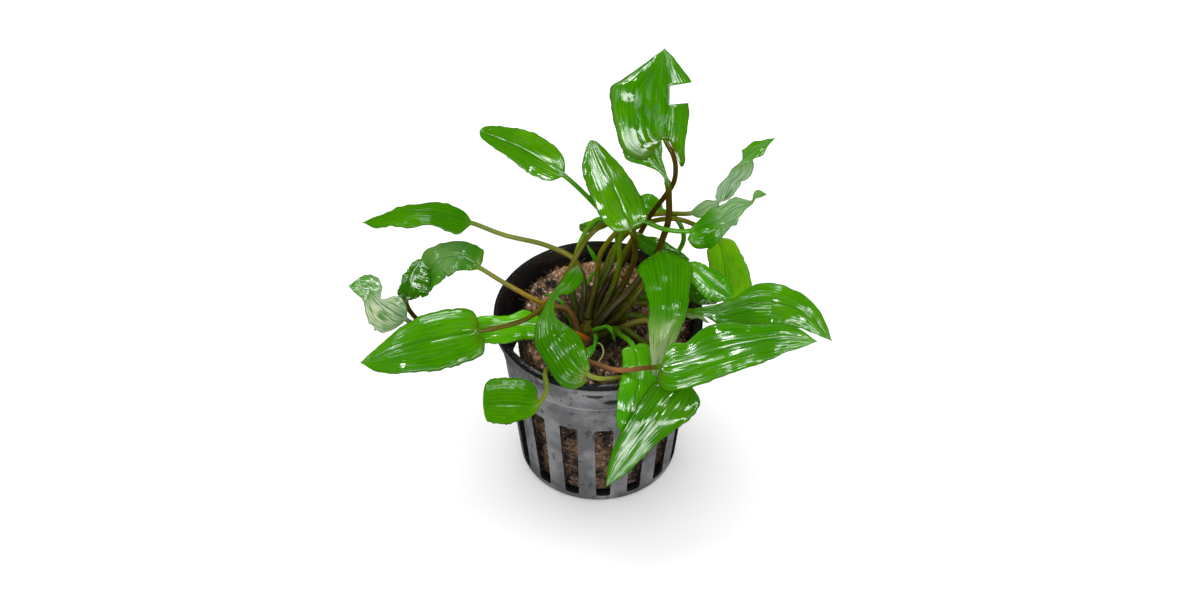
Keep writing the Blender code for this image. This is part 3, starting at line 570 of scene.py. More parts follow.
ROOT_RADII = (6.8, 5.7, 4.8)
ROOT_LUMP = 0.05
CROWN_LEVELS = 24
CROWN_SIDES = 64
CROWN_REACH = math.radians(78)
CROWN_SHRINK = -1.5
BARK_DARK = (0.022, 0.020, 0.001)
BARK_LIGHT = (0.105, 0.088, 0.006)
CURL_GREEN = (0.22, 0.23, 0.05)
CURL_PALE = (0.50, 0.48, 0.18)
ROOT_CURL = [
    (-0.8, -9.8, 49.2), (0.6, -10.5, 49.3), (1.3, -12.2, 48.9), (1.1, -13.8, 48.4), (0.0, -15.4, 47.7),
]
ROOT_CURL_R = 0.24
ROOT_CURL_TIP = 0.55


def swollen(extra, rise, a):
    """A point of the rootstock's skin, grown by extra mm."""
    swell = 1 + ROOT_LUMP * math.sin(3 * a + math.degrees(rise) / 20) * math.cos(rise)
    return (
        ROOT_CENTRE[0] + (ROOT_RADII[0] + extra) * swell * math.cos(rise) * math.cos(a),
        ROOT_CENTRE[1] + (ROOT_RADII[1] + extra) * swell * math.cos(rise) * math.sin(a),
        ROOT_CENTRE[2] + (ROOT_RADII[2] + extra) * math.sin(rise),
    )


root_bark, tree, shader, where = new_finish("root_bark", 0.6)
scars = grain(tree, where, 420, 4, 0.6, (1, 1, 2.5), 0.6)
bark = mixed(tree, ranged(tree, scars, 0.35, 0.7, 0, 1), BARK_DARK, BARK_LIGHT)
shader.inputs["Specular IOR Level"].default_value = 0.06
tree.links.new(bark, shader.inputs["Base Color"])
bumped(tree, shader, scars, 0.8, 0.6 * MM)

rings = []
for level in range(CROWN_LEVELS + 1):
    rise = CROWN_REACH * (2 * level / CROWN_LEVELS - 1)
    ring = []
    for k in range(CROWN_SIDES):
        a = 2 * math.pi * k / CROWN_SIDES
        x, y, z = swollen(0, rise, a)
        ring.append(swollen(CROWN_SHRINK + tuft(x, y, z, 1.6), rise, a))
    rings.append(ring)
crown = place("rootstock_skin", lofted("rootstock_skin", rings))
faces_out(crown.data)
crown.data.materials.append(root_bark)
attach(crown, "root")
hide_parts("rootstock")


ROUTE_STEPS = 16


def smooth_route(points, steps=ROUTE_STEPS):
    """A centripetal Catmull-Rom curve through the points, with so many steps from one to the next."""
    points = [np.array(p, float) for p in points]
    points = [2 * points[0] - points[1]] + points + [2 * points[-1] - points[-2]]
    route = [points[1]]
    for a, b, c, d in zip(points, points[1:], points[2:], points[3:]):
        t1 = np.linalg.norm(b - a) ** 0.5
        t2 = t1 + np.linalg.norm(c - b) ** 0.5
        t3 = t2 + np.linalg.norm(d - c) ** 0.5
        for t in np.linspace(t1, t2, steps + 1)[1:]:
            ab = (a * (t1 - t) + b * t) / t1
            bc = (b * (t2 - t) + c * (t - t1)) / (t2 - t1)
            cd = (c * (t3 - t) + d * (t - t2)) / (t3 - t2)
            abc = (ab * (t2 - t) + bc * t) / t2
            bcd = (bc * (t3 - t) + cd * (t - t1)) / (t3 - t1)
            route.append((abc * (t2 - t) + bcd * (t - t1)) / (t2 - t1))
    return np.array(route)


def along(route, wanted):
    """Points and directions at the wanted distances along a route, all in mm."""
    lengths = np.concatenate([[0], np.cumsum(np.linalg.norm(np.diff(route, axis=0), axis=1))])
    reach = 0.4

    def at(distances):
        return np.stack([np.interp(distances, lengths, route[:, k]) for k in range(3)], 1)

    ways = at(wanted + reach) - at(wanted - reach)
    return at(wanted), ways / np.linalg.norm(ways, axis=1, keepdims=True)


root_skin, tree, shader, where = new_finish("root_skin", 0.35, 1.4)
pale = mixed(tree, grain(tree, where, 500, 2), CURL_GREEN, CURL_PALE)
tree.links.new(pale, shader.inputs["Base Color"])
sizes = {"Root Radius": ROOT_CURL_R * MM, "Tip Share": ROOT_CURL_TIP}
tree, given = new_tree("tapered_root", sizes)
line = add(tree, "GeometryNodeMeshToCurve", {"Mesh": given["Geometry"]})
way_along = add(tree, "GeometryNodeSplineParameter").outputs["Factor"]
line = add(tree, "GeometryNodeSetCurveRadius", {
    "Curve": line, "Radius": ranged(tree, way_along, 0, 1, 1.0, given["Tip Share"]),
})
tube = add(tree, "GeometryNodeCurveToMesh", {
    "Curve": line, "Profile Curve": round_wire(tree, 14, given["Root Radius"]),
    "Fill Caps": True,
})
curl = place("curled_root", chain("root_path", (smooth_route(ROOT_CURL, 10) * MM).tolist()))
grow(tree, tube, root_skin, curl, sizes)
faces_out(curl.data, 60)
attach(curl, "root")
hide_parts("root_curl")


# The tall leaves at the top
# Each leaf grew in one piece: a round juicy stalk that flattens into a thin glossy blade with a midrib
# and lengthwise veins. It is lofted in one closed skin from the rootstock out, and a UV map and a tint at
# its points colour it.

STALK_FOOT_R = 0.72
STALK_TOP_R = 0.62
STALK_STEP = 0.9
SHEATH = 0.9
SHEATH_LENGTH = 4.5
CROWN_SHARE = 0.72
FOOT_SINK = 1.0
FOOT_RISE = 0.3
BLADE_THICK = 0.32
BLADE_RINGS = 64
BLADE_CROWDING = 0.027
KEEL_R = 0.55
GROOVE_R = 0.5
GROOVE_DEEP = 0.16
DIMPLE_WIDE = 2.8
DIMPLE_LONG = 13.0
ROUND = 40
NICK_STEPS = 34
BROWN = (0.050, 0.033, 0.003)
OLIVE_BROWN = (0.068, 0.064, 0.003)
OLIVE = (0.115, 0.135, 0.003)
BRIGHT = (0.060, 0.270, 0.006)
ORANGE_RED = (0.60, 0.11, 0.010)
PINK_BROWN = (0.30, 0.145, 0.070)
PALE_OLIVE = (0.24, 0.27, 0.05)
LEAF_TOP = (0.042, 0.220, 0.0002)
LEAF_UNDER = (0.085, 0.240, 0.035)
VEIN_GREEN = (0.09, 0.34, 0.006)
MIDRIB_GREEN = (0.022, 0.11, 0.002)
GLARE_PATCH_VEIN_GREEN = (0.055, 0.215, 0.012)
BLOTCH_TINT = (1.3, 1.15, 1.0)
OLD_TINT = (1.35, 1.14, 1.0)
FRESH_TINT = (0.66, 0.78, 0.7)
FINE_LINE_TINT = (0.58, 0.68, 0.5)
VEIN_TURNS = 40.0
VEIN_WANDER = 4.0


def drawn_out(tree, across, along_it, kind=0.0):
    """Noise that is long and narrow, as the two scaled map values say."""
    spot = joined(tree, X=across, Y=along_it, Z=kind)
    return add(tree, "ShaderNodeTexNoise", {"Vector": spot, "Scale": 1.0, "Detail": 1.5}).outputs[0]


def leaf_finish(name, vein_light, shine=0.5):
    """Leaf skin. Its UV map runs across the blade in U and along it in V, with the stalk below 0."""
    finish, tree, shader, where = new_finish(name, 0.2, 1.42)
    shader.inputs["Specular IOR Level"].default_value = shine
    uv = add(tree, "ShaderNodeUVMap", uv_map="leaf_map")
    sides = parts_of(tree, uv)
    u, v = sides["X"], sides["Y"]
    blade = ranged(tree, v, 0.0, 0.04, 0, 1)
    reach = maths(tree, "ABSOLUTE", times(tree, maths(tree, "SUBTRACT", u, 0.5), 2.0))
    painted = add(tree, "ShaderNodeAttribute", attribute_name="tint").outputs
    tint = painted["Color"]
    wander = grain(tree, where, 60, 2)
    lines = plus(tree, times(tree, reach, VEIN_TURNS), times(tree, wander, VEIN_WANDER))
    lines = maths(tree, "SINE", lines)
    fine = drawn_out(tree, times(tree, u, 34.0), times(tree, v, 5.0))
    blotch = grain(tree, where, 150, 4, 0.6)
    ages = grain(tree, where, 55, 2)
    colour = mixed(tree, ranged(tree, blotch, 0.35, 0.7, 0.0, 0.8), tint, BLOTCH_TINT, "MULTIPLY")
    colour = mixed(tree, ranged(tree, ages, 0.35, 0.65, 0, 1), colour, OLD_TINT, "MULTIPLY")
    colour = mixed(tree, ranged(tree, ages, 0.62, 0.38, 0, 0.55), colour, FRESH_TINT, "MULTIPLY")
    colour = mixed(tree, ranged(tree, fine, 0.4, 0.7, 0.0, 0.6), colour, FINE_LINE_TINT, "MULTIPLY")
    # Where a leaf's tint holds a painted glare, which is pale and so bluer, green lines along the veins
    # break it into streaks.
    blue = add(tree, "ShaderNodeSeparateColor", {"Color": tint}).outputs["Blue"]
    pale = ranged(tree, blue, 0.03, 0.2, 0, 1)
    green_lines = times(tree, ranged(tree, fine, 0.46, 0.62, 0.0, 0.85), pale)
    colour = mixed(tree, green_lines, colour, GLARE_PATCH_VEIN_GREEN)
    veins = times(tree, times(tree, ranged(tree, lines, 0.6, 1.0, 0, 1), blade), vein_light)
    colour = mixed(tree, veins, colour, VEIN_GREEN)
    middle = times(tree, ranged(tree, reach, 0.01, 0.05, 1, 0), blade)
    colour = mixed(tree, times(tree, middle, 0.5), colour, MIDRIB_GREEN)
    tree.links.new(colour, shader.inputs["Base Color"])
    streaks = drawn_out(tree, times(tree, u, 26.0), times(tree, v, 6.0), wander)
    gloss = ranged(tree, streaks, 0.46, 0.56, 0.05, 0.19)
    gloss = plus(tree, gloss, ranged(tree, v, -1.0, -0.3, 0.3, 0.0, "LINEAR"))
    tree.links.new(gloss, shader.inputs["Roughness"])
    ripple = plus(tree, times(tree, fine, 0.12), times(tree, streaks, 0.32))
    ripple = plus(tree, times(tree, lines, painted["Alpha"]), ripple)
    pebbles = times(tree, grain(tree, where, 420, 3), 0.15)
    bumped(tree, shader, plus(tree, times(tree, ripple, blade), pebbles), 0.5, 0.3 * MM)
    return finish


leaf_green = leaf_finish("leaf_green", 0.25)
leaf_dull = leaf_finish("leaf_dull", 0.25, 0.15)


USUAL_LEAF = dict(
    fold=(8, 8), arch=-25, wave=(0.2, 2, 0), lobe=(0.6, 0.6), tear=(2, 2, 0), slant=(0, 0),
    thick=1.0, ruffle=0.6, nicks=0.03, uneven=0.2, ribbed=0.05,
    shades=(OLIVE_BROWN, OLIVE), dim=0.3, tone=1.0, skin=[LEAF_TOP], under=[LEAF_UNDER], dull=False,
)


def unit(v):
    return v / np.linalg.norm(v)


def blend(values, t):
    """The value at t, from 0 to 1, on a smooth curve through evenly spaced values."""
    values = np.array(values, float)
    if len(values) == 1:
        return values[0]
    spot = min(max(t, 0.0), 1.0) * (len(values) - 1)
    k = min(int(spot), len(values) - 2)
    before, after = values[max(k - 1, 0)], values[min(k + 2, len(values) - 1)]
    start, end = values[k], values[k + 1]
    u = spot - k
    bend = 2 * before - 5 * start + 4 * end - after + u * (3 * (start - end) + after - before)
    return start + 0.5 * u * (end - before + u * bend)


def half_width(values, t):
    """A blade's half width at t, rounded off at its base and at its tip."""
    base = math.sqrt(1 - (1 - min(t, 0.06) / 0.06) ** 2)
    tip = math.sqrt(max(0.0, 1 - (1 - min(1 - t, 0.07) / 0.07) ** 2))
    return max(0.0, float(blend(values, t))) * base * tip


def ease(value, low, high):
    """Rises from 0 at low to 1 at high, with a soft start and end."""
    t = min(1.0, max(0.0, (value - low) / (high - low)))
    return t * t * (3 - 2 * t)


def grow_leaf(name, finish=leaf_green, slot="leaf_green", **spec):
    """Lofts a leaf from its measures in mm and degrees. What isn't given is as in USUAL_LEAF.
    foot: where the stalk leaves the rootstock, as a turn and a share of the way out.
    stalk and rib: the points that the stalk and then the midrib pass through.
    left and right: the half widths of the blade, at even steps. Without right, both are the same.
    faces: what its upper side looks at.
    fold: how far each half rises. arch: how it bows. wave: the margin's rise, number and start.
    lobe: how far each half reaches back past the stalk.
    tear: where a gap in the right half begins and ends, and the width left there. slant: how far the
    margin leans to the tip at each end of the gap.
    thick: the stalk's thickness, as a share. ruffle, nicks, uneven and ribbed: how wavy the margin is, how
    ragged it is, how lumpy the blade is and how far its veins stand out.
    shades: the stalk's colours. dim: how light its foot is, as a share. skin and under: the colours of
    both sides of the blade, from its base to its tip. tone: their lightness. dull: a low gloss."""
    spec = USUAL_LEAF | {"right": spec["left"]} | spec
    chance = np.random.default_rng(sum(map(ord, name)))
    turn, share = math.radians(spec["foot"][0]), spec["foot"][1]
    on = np.array([share * math.cos(turn), share * math.sin(turn), math.sqrt(1 - share**2)])
    normal = unit(on / np.array(ROOT_RADII))
    start = np.array(ROOT_CENTRE) + on * np.array(ROOT_RADII) * CROWN_SHARE + normal * FOOT_RISE
    route = smooth_route([start] + spec["stalk"] + spec["rib"])
    lengths = np.linalg.norm(np.diff(route, axis=0), axis=1)
    stalk_length = lengths[: ROUTE_STEPS * (len(spec["stalk"]) + 1)].sum()
    blade_length = lengths.sum() - stalk_length
    count = max(8, round(stalk_length / STALK_STEP))
    inner = np.linspace(0, 1, BLADE_RINGS)[1:]
    inner = inner - BLADE_CROWDING * np.sin(2 * math.pi * inner)
    on_stalk = stalk_length * np.arange(count + 1) / count
    wanted = np.concatenate([on_stalk, stalk_length + blade_length * inner])
    wanted[0] += 0.01
    wanted[-1] -= 0.01
    high, waves, phase = spec["wave"]
    lobe, tear, slant = np.array(spec["lobe"]), spec["tear"], spec["slant"]
    crinkle = [
        (chance.uniform(5, 12), chance.uniform(0, 6.28), chance.uniform(0.03, 0.10)) for _ in range(4)
    ]
    own_spot = chance.uniform(0, 50)
    steps, nicks = np.linspace(0, 1, NICK_STEPS), chance.uniform(-1, 0.5, (2, NICK_STEPS))
    q = np.arange(ROUND) / ROUND
    reach = np.where(q <= 0.5, 1 - 4 * q, 4 * q - 3)
    far, sign = np.abs(reach), np.sign(reach)
    upper, right_half = q < 0.5, reach > 0
    side, rise = np.cos(2 * math.pi * q), np.sin(2 * math.pi * q)
    edge = np.clip(1 - reach**2, 0, 1) ** 0.6

    def halves(left, right):
        """One value for the points of the left half and one for those of the right."""
        return np.where(right_half, right, left)

    rings, map_u, map_v, tints = [], [], [], []
    for middle, way, length in zip(*along(route, wanted), wanted):
        t = max(0.0, (length - stalk_length) / blade_length)
        face = blend(spec["faces"], t)
        up = unit(face - way * (face @ way))
        right = np.cross(way, up)
        s = min(1.0, length / stalk_length)
        r = spec["thick"] * (STALK_FOOT_R + (STALK_TOP_R - STALK_FOOT_R) * s)
        r *= 1 + SHEATH * math.exp(-length / SHEATH_LENGTH)
        ring = middle + r * (np.outer(side, right) + np.outer(rise, up))
        flat_over = min(4.0, 0.14 * blade_length) / (1 + lobe.max() / 2.5)
        flat = ease(length, stalk_length - 1.5, stalk_length + flat_over)
        if t > 0:
            wide = halves(half_width(spec["left"], t), half_width(spec["right"], t))
            if tear[0] < t < tear[1]:
                wide = halves(wide, tear[2])
            wide = np.maximum(wide, max(0.25 * (1 - t), r * (1 - 5 * t)))
            out = far * wide
            angle = np.radians(halves(*spec["fold"]) + spec["arch"] * far / 2)
            curl = high * np.sin(2 * math.pi * waves * t + phase + 1.3 * right_half) * reach**2
            for number, begin, size in crinkle:
                wavelet = np.sin(2 * math.pi * number * t + begin + 2.1 * right_half)
                curl = curl + spec["ruffle"] * size * wavelet * far**3
            curl = curl * np.minimum(1, wide / 2)
            nick = halves(np.interp(t, steps, nicks[1]), np.interp(t, steps, nicks[0]))
            spread = out * (1 + 1.3 * spec["nicks"] * nick * far**5)
            body = BLADE_THICK / 2 * edge * (1 - 0.5 * ease(t, 0.5, 1.0))
            keel = (r * 0.9 * (1 - t) ** 1.5) * np.exp(-((out / KEEL_R) ** 2))
            groove = GROOVE_DEEP * np.exp(-((out / GROOVE_R) ** 2)) * (1 - ease(t, 0.7, 1.0))
            dimples = np.array([
                noise.fractal(Vector((across / DIMPLE_WIDE, length / DIMPLE_LONG, own_spot)), 1.0, 2.3, 2)
                for across in out * sign
            ]) * spec["uneven"] * np.minimum(1, out / 1.5) * min(1.0, 6 * t)
            lift = out * np.sin(angle) + curl + dimples + np.where(upper, body - groove, -body - keel)
            pull = halves(*lobe) * reach**2 * max(0.0, 1 - t / 0.35) ** 2
            if t <= tear[0]:
                pull = pull - slant[0] * right_half * far * (t / tear[0]) ** 6
            elif t >= tear[1]:
                pull = pull - slant[1] * right_half * far * math.exp(-(t - tear[1]) / 0.08)
            sheet = middle + np.outer(np.copysign(spread * np.cos(angle), reach), right)
            sheet = sheet + np.outer(lift, up) - np.outer(pull, way)
            ring = ring * (1 - flat) + sheet * flat
        elif flat > 0:
            flatter = np.outer(side * (1 + 0.25 * flat), right) + np.outer(rise * (1 - 0.2 * flat), up)
            ring = middle + r * flatter
        rings.append(ring)
        map_u.append((reach + 1) / 2)
        map_v.append(np.full(ROUND, t if t > 0 else s - 1))
        # Some leaves' skins hold pale stretches of painted glare, and their tone is partly painted light
        # and shade, lighter or darker for the light that falls on them.
        skin = np.where(upper[:, None], blend(spec["skin"], t), blend(spec["under"], t)) * spec["tone"]
        turned = ease(length, stalk_length - 3.0, stalk_length + 3.0)
        # The stalk darkens towards its foot, a painted shade where it meets the rootstock.
        dim = spec["dim"] + (1 - spec["dim"]) * ease(length, 2.0, 22.0)
        tints.append(blend(spec["shades"], s) * dim * (1 - turned) + skin * turned)
    rings.insert(0, rings[0] - normal * (FOOT_SINK + FOOT_RISE))
    map_u.insert(0, map_u[0])
    map_v.insert(0, map_v[0] - 0.01)
    # The ring sunk into the rootstock is darker still, also painted shade.
    tints.insert(0, tints[0] * 0.6)
    mesh = lofted(name, rings)
    faces_out(mesh)
    corners = np.zeros(len(mesh.loops), np.int32)
    mesh.loops.foreach_get("vertex_index", corners)
    u, v = np.concatenate(map_u)[corners], np.concatenate(map_v)[corners]
    mesh.uv_layers.new(name="leaf_map").data.foreach_set("uv", np.stack([u, v], 1).ravel())
    veins = np.full((len(mesh.vertices), 1), spec["ribbed"])
    colours = np.concatenate([np.concatenate(tints), veins], 1)
    mesh.color_attributes.new("tint", "FLOAT_COLOR", "POINT").data.foreach_set("color", colours.ravel())
    mesh.materials.append(leaf_dull if spec["dull"] else finish)
    mesh.materials.append(leaf_dull)
    of_stalk = np.arange(len(mesh.polygons)) < ROUND * (count + 1)
    mesh.polygons.foreach_set("material_index", of_stalk.astype(np.int32))
    made = place(name + "_grown", mesh)
    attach(made, "root")
    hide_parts(name)


grow_leaf(
    "leaf_back_left_oval", foot=(82, 0.97),
    stalk=[(0, 7, 51), (2, 10, 54.5), (4, 12, 59), (5, 12.5, 64), (4, 12, 70.5), (0, 11.5, 77)],
    rib=[(-9, 12.5, 87.5), (-20, 15, 94), (-30, 16, 99)],
    left=(2.4, 4.6, 5.0, 4.4, 3.4, 1.8), right=(2.6, 5.0, 5.9, 5.3, 3.9, 1.8),
    faces=[(0.1, -0.6, 0.75), (0, -0.35, 1), (0, -0.3, 1)], fold=(14, 8), arch=-12,
    shades=(OLIVE, BRIGHT),
    skin=[(0.056, 0.238, 0.0003)],
)
grow_leaf(
    "leaf_upright_centre", foot=(12, 0.42),
    stalk=[(3, -0.5, 52.5), (5, 2, 55), (7.5, 3.5, 59.5), (9, 3, 66), (9.5, 2, 73)],
    rib=[(8, 0, 80), (3, 9, 88), (-2, 16, 96)],
    left=(3.3, 5.7, 6.0, 5.9, 4.9, 1.2), right=(5.1, 5.9, 5.6, 4.7, 3.1, 1.2),
    faces=[(0, -0.6, 0.8), (0.2, -0.7, 0.7)], lobe=(1.0, 1.5), uneven=0.15, shades=(OLIVE_BROWN, BROWN),
    skin=[(0.066, 0.252, 0.0004)],
)
grow_leaf(
    "leaf_top_torn", foot=(80, 0.78),
    stalk=[(0.5, 4.5, 51), (2.5, 8, 53.5), (5.5, 10.5, 56.5), (7.5, 11, 60.5), (10, 12, 65.5),
        (13.5, 12.5, 73.5), (16.5, 12, 79.5), (19, 11.0, 85.5), (19.5, 8.4, 92.5), (18.4, 4.4, 101.5)],
    rib=[(16.6, 6.2, 104.7), (17.0, 9.75, 111.0), (17.0, 13.5, 117.5), (16.2, 17.45, 124.2)],
    left=(9.0, 11.6, 13.2, 13.9, 14.2, 14.4, 13.8, 11.0, 7.4, 3.7, 0.3),
    right=(5.4, 5.9, 6.3, 6.1, 5.6, 5.2, 6.6, 5.0, 3.4, 2.0, 0.4),
    faces=[(0, -0.85, 0.5), (-0.05, -0.88, 0.46)], fold=(6, -15), arch=-18, lobe=(6.0, 9.5),
    tear=(0.38, 0.60, 0.6), slant=(0.8, 0.0), ruffle=0.1, nicks=0.02, uneven=0.1, shades=(BROWN, BROWN),
)
grow_leaf(
    "leaf_top_small", foot=(320, 0.3),
    stalk=[(1.5, -3.5, 52.8), (4.2, -2.2, 55.5), (8.5, 0, 59), (11.5, 2.5, 62), (14.5, 4.7, 65.3),
        (16.5, 6, 71), (18, 7, 77), (18, 8, 83)],
    rib=[(17.5, 8.5, 88.5), (15, 11, 93.5), (12, 14.5, 99.5), (10.5, 16, 102.5)],
    left=(0.4, 0.6, 1.6, 3.8, 6.4, 7.4, 6.8, 4.6, 1), right=(0.4, 0.6, 1, 1.4, 2.5, 3, 3, 2, 0.5),
    faces=[(0, -0.6, 0.8)], thick=1.3, shades=(OLIVE_BROWN, BROWN),
)


# The leaves on the right at the top
# Two narrow wavy leaves that twist as they rise, a round one that hangs down behind the others and a small
# flat one. Made as the tall leaves are.

grow_leaf(
    "leaf_right_wavy_high", foot=(112, 0.72),
    stalk=[(-1.5, 5, 51.5), (-0.5, 7.5, 54.5), (0, 9, 59), (0.5, 9.5, 62.5), (2, 9.5, 66), (4.5, 9.5, 70),
        (8, 11.5, 71.5), (12, 14.5, 71.5), (17.5, 15.5, 71.5)],
    rib=[(24, 15, 72), (28, 14, 75), (32, 15, 77), (34, 16, 82), (36, 16, 85), (37, 16, 90), (41, 17, 93),
        (45, 18, 95)],
    left=(1.5, 4.2, 5.2, 4.6, 4.0, 4.2, 2.4, 2.2, 0.3), right=(1, 3.0, 4.2, 4.0, 4.3, 3.8, 2.4, 2.0, 0.3),
    faces=[(0, -0.2, 1), (-0.3, 0.3, 0.9), (-0.5, 0.8, 0.1), (-0.5, 0.7, 0.2), (-0.3, -0.3, 0.9),
        (-0.3, -0.3, 0.9)], wave=(0.5, 3, 0.4), ruffle=1.6, nicks=0.05, ribbed=0.04,
    shades=(OLIVE, OLIVE),
    # The pale middle of both sides is partly the paler underside and partly a painted glare.
    skin=[(0.14, 0.29, 0.09), (0.38, 0.53, 0.36), (0.42, 0.56, 0.40), (0.09, 0.27, 0.04),
        (0.045, 0.230, 0.002)],
    under=[(0.28, 0.44, 0.25), (0.44, 0.58, 0.42), (0.40, 0.55, 0.38), (0.08, 0.25, 0.015),
        (0.045, 0.230, 0.002)],
)
grow_leaf(
    "leaf_right_wavy_low", foot=(55, 0.5),
    stalk=[(3, 3.5, 54), (4.5, 5, 57), (5.5, 5.5, 63.5), (5.5, 5.5, 71.5), (7, 5, 77), (9, 5, 79.5),
        (11.5, 5.5, 78), (17, 4.5, 76)],
    rib=[(23.5, 5.5, 74.5), (27, 6.5, 75.5), (31, 7, 77), (35, 8, 80), (39, 8, 82), (40, 8, 84),
        (43, 9, 84)],
    left=(0.8, 1.4, 2.6, 3.6, 3.6, 3.4, 2.9, 1.6, 0.4, 1.6, 0.2),
    right=(4.0, 5.5, 6.2, 5.0, 3.2, 4.0, 2.9, 1, 0.4, 0.7, 0.2),
    faces=[(-0.2, -0.8, 0.6), (-0.3, -0.4, 0.8), (-0.3, -0.6, 0.7)], wave=(0.6, 3, 2.0), lobe=(0.2, 2.4),
    ruffle=1.4, uneven=0.08, ribbed=0.03, shades=(OLIVE, BRIGHT), dull=True,
    # The pale stretch in the middle of its skin is a painted glare.
    skin=[(0.045, 0.22, 0.002), (0.05, 0.225, 0.005), (0.26, 0.42, 0.22), (0.20, 0.36, 0.16),
        (0.05, 0.23, 0.004)],
    under=[(0.18, 0.31, 0.11)],
)
grow_leaf(
    "leaf_right_back_round", foot=(102, 0.97),
    stalk=[(-1.5, 8, 50), (0, 11, 52), (2, 13, 55), (3.5, 14.5, 58.5), (5.5, 15, 62), (9, 15.5, 66),
        (15, 15, 69.5), (20, 14, 71), (25, 14, 69)],
    rib=[(31, 12.2, 65.3), (33, 12, 58), (34, 11.5, 50.5), (35, 11.8, 42.3)],
    left=(3.4, 4.6, 5.4, 6.4, 6.8, 6.0, 2), right=(3.4, 4, 4, 4.2, 4, 3, 0.8),
    # Its light yellow-green, from the skin and the raised tone, is painted light, as if lit through from
    # behind.
    faces=[(0.05, -0.9, 0.2), (0, -0.95, 0.2)], arch=-8, uneven=0.05, shades=(OLIVE, OLIVE), tone=1.4,
    dull=True,
    skin=[(0.105, 0.315, 0.003)],
)
grow_leaf(
    "leaf_right_small", foot=(18, 0.97),
    stalk=[(8, 1, 54), (13.5, 1.5, 59.5), (20, 2, 64.5)],
    rib=[(23.5, 2, 66), (29.5, -1, 62.5), (34.5, -4, 59.5)],
    left=(1.0, 2.0, 2.8, 3.4, 3.6, 3.0, 1.2), right=(1.2, 3.4, 4.2, 4.6, 4.4, 3.2, 0.8),
    faces=[(0, -0.4, 0.9), (0.3, -0.62, 0.73), (0.3, -0.62, 0.73)], nicks=0.08, shades=(OLIVE, BRIGHT),
    # Its high tone is partly painted light.
    tone=1.5,
)


# The leaves on the left
# A long high leaf, a wavy one below it, two that curl and twist, a large one and one that lies over the
# rim. Made as the tall leaves are.

grow_leaf(
    "leaf_left_high", foot=(137, 0.85),
    stalk=[(-3.8, 4.5, 52), (-3.8, 7.5, 55), (-5, 9, 58.5), (-7, 9.5, 61.5), (-14, 10, 65.5),
        (-24.5, 10.5, 68.5)],
    rib=[(-32.6, 11, 72.2), (-42, 11.5, 75.5), (-51.5, 12, 75), (-61.5, 13, 70.5)],
    left=(1.5, 4.8, 4.9, 4.5, 4.6, 5.0, 5.0, 4.5, 3.7, 2.3, 0.2),
    right=(1.1, 4.2, 4.4, 4.0, 3.8, 3.2, 2.4, 1.9, 1.4, 0.8, 0.2),
    faces=[(0, 0.12, 1)], fold=(-12, 12), arch=-15, wave=(0.3, 3, 1.0), ruffle=0.9, nicks=0.04,
    uneven=0.06, shades=((0.06, 0.06, 0.004), (0.17, 0.20, 0.02), (0.20, 0.24, 0.04)), tone=0.8,
    dull=True,
)
grow_leaf(
    "leaf_left_middle", foot=(215, 0.9),
    stalk=[(-6.3, -2.5, 50.5), (-8.5, 0.5, 51.5), (-13, 1.5, 51.5), (-24, 5, 56)],
    rib=[(-31, 6, 61), (-37, 6, 65), (-42, 5, 64), (-44, 3, 61), (-46, 0, 56)],
    left=(1, 2.5, 4, 4.8, 5, 4.2, 3, 1), right=(5.6, 5.0, 4.4, 4.2, 4.6, 5.2, 5.0, 2),
    faces=[(0, -0.6, 0.85), (-0.2, -0.65, 0.6), (-0.8, -0.4, 0.3)], fold=(15, 0), wave=(0.35, 4, 0.0),
    lobe=(0.3, 1.0), ruffle=1.6, nicks=0.05, uneven=0.08, shades=((0.26, 0.12, 0.010), (0.36, 0.22, 0.02),
        PALE_OLIVE), dull=True,
    # The pale stretch in the middle of its skin is a painted sheen.
    skin=[LEAF_TOP, (0.055, 0.23, 0.02), (0.13, 0.29, 0.09), (0.08, 0.25, 0.04), LEAF_TOP, LEAF_TOP],
)
grow_leaf(
    "leaf_left_curled", foot=(198, 0.97),
    stalk=[(-13, -5, 52), (-18, -5, 53.5), (-27, -7, 55), (-37, -5, 52), (-45, -4, 50), (-49, -3, 54)],
    rib=[(-50, -2, 57), (-49, 0, 62), (-46, 3, 67)],
    left=(1.8, 2.3, 2.3, 2.0, 1.6, 0.8), right=(2.4, 5.4, 6.4, 5.4, 4.4, 2.2),
    faces=[(0.3, -0.9, 0.2), (0.3, -0.9, 0.5)], fold=(20, 20), wave=(0.5, 3, 1.0), ruffle=1.4, nicks=0.07,
    shades=(OLIVE_BROWN, BROWN), tone=0.8,
)
grow_leaf(
    "leaf_far_left_twisted", foot=(217, 0.97),
    stalk=[(-13, -8, 52), (-18, -8.5, 53.5), (-27, -10.5, 55), (-37, -9, 52), (-45, -8, 52)],
    rib=[(-50, -6, 54), (-53, -6, 57), (-56, -6, 60), (-59, -6, 64), (-64, -6, 66)],
    left=(3.5, 6.8, 7.2, 6.4, 4.6, 3.2, 2.4, 1.5, 0.2),
    right=(1.5, 3.0, 4.0, 3.4, 0.9, 3.4, 4.4, 2.8, 0.2),
    faces=[(0.1, -0.9, 0.45), (0.1, -0.9, 0.45), (0.5, -0.6, 0.6)], wave=(0.4, 2, 0.6), ruffle=1.3,
    nicks=0.05, shades=(OLIVE_BROWN, BROWN),
    # The pale early stretch of its skin is a painted glare; its underside is a paler green of its own.
    skin=[(0.28, 0.43, 0.26), (0.42, 0.56, 0.41), (0.44, 0.57, 0.43), (0.12, 0.29, 0.08),
        (0.05, 0.235, 0.004)],
    under=[(0.20, 0.32, 0.15)],
)
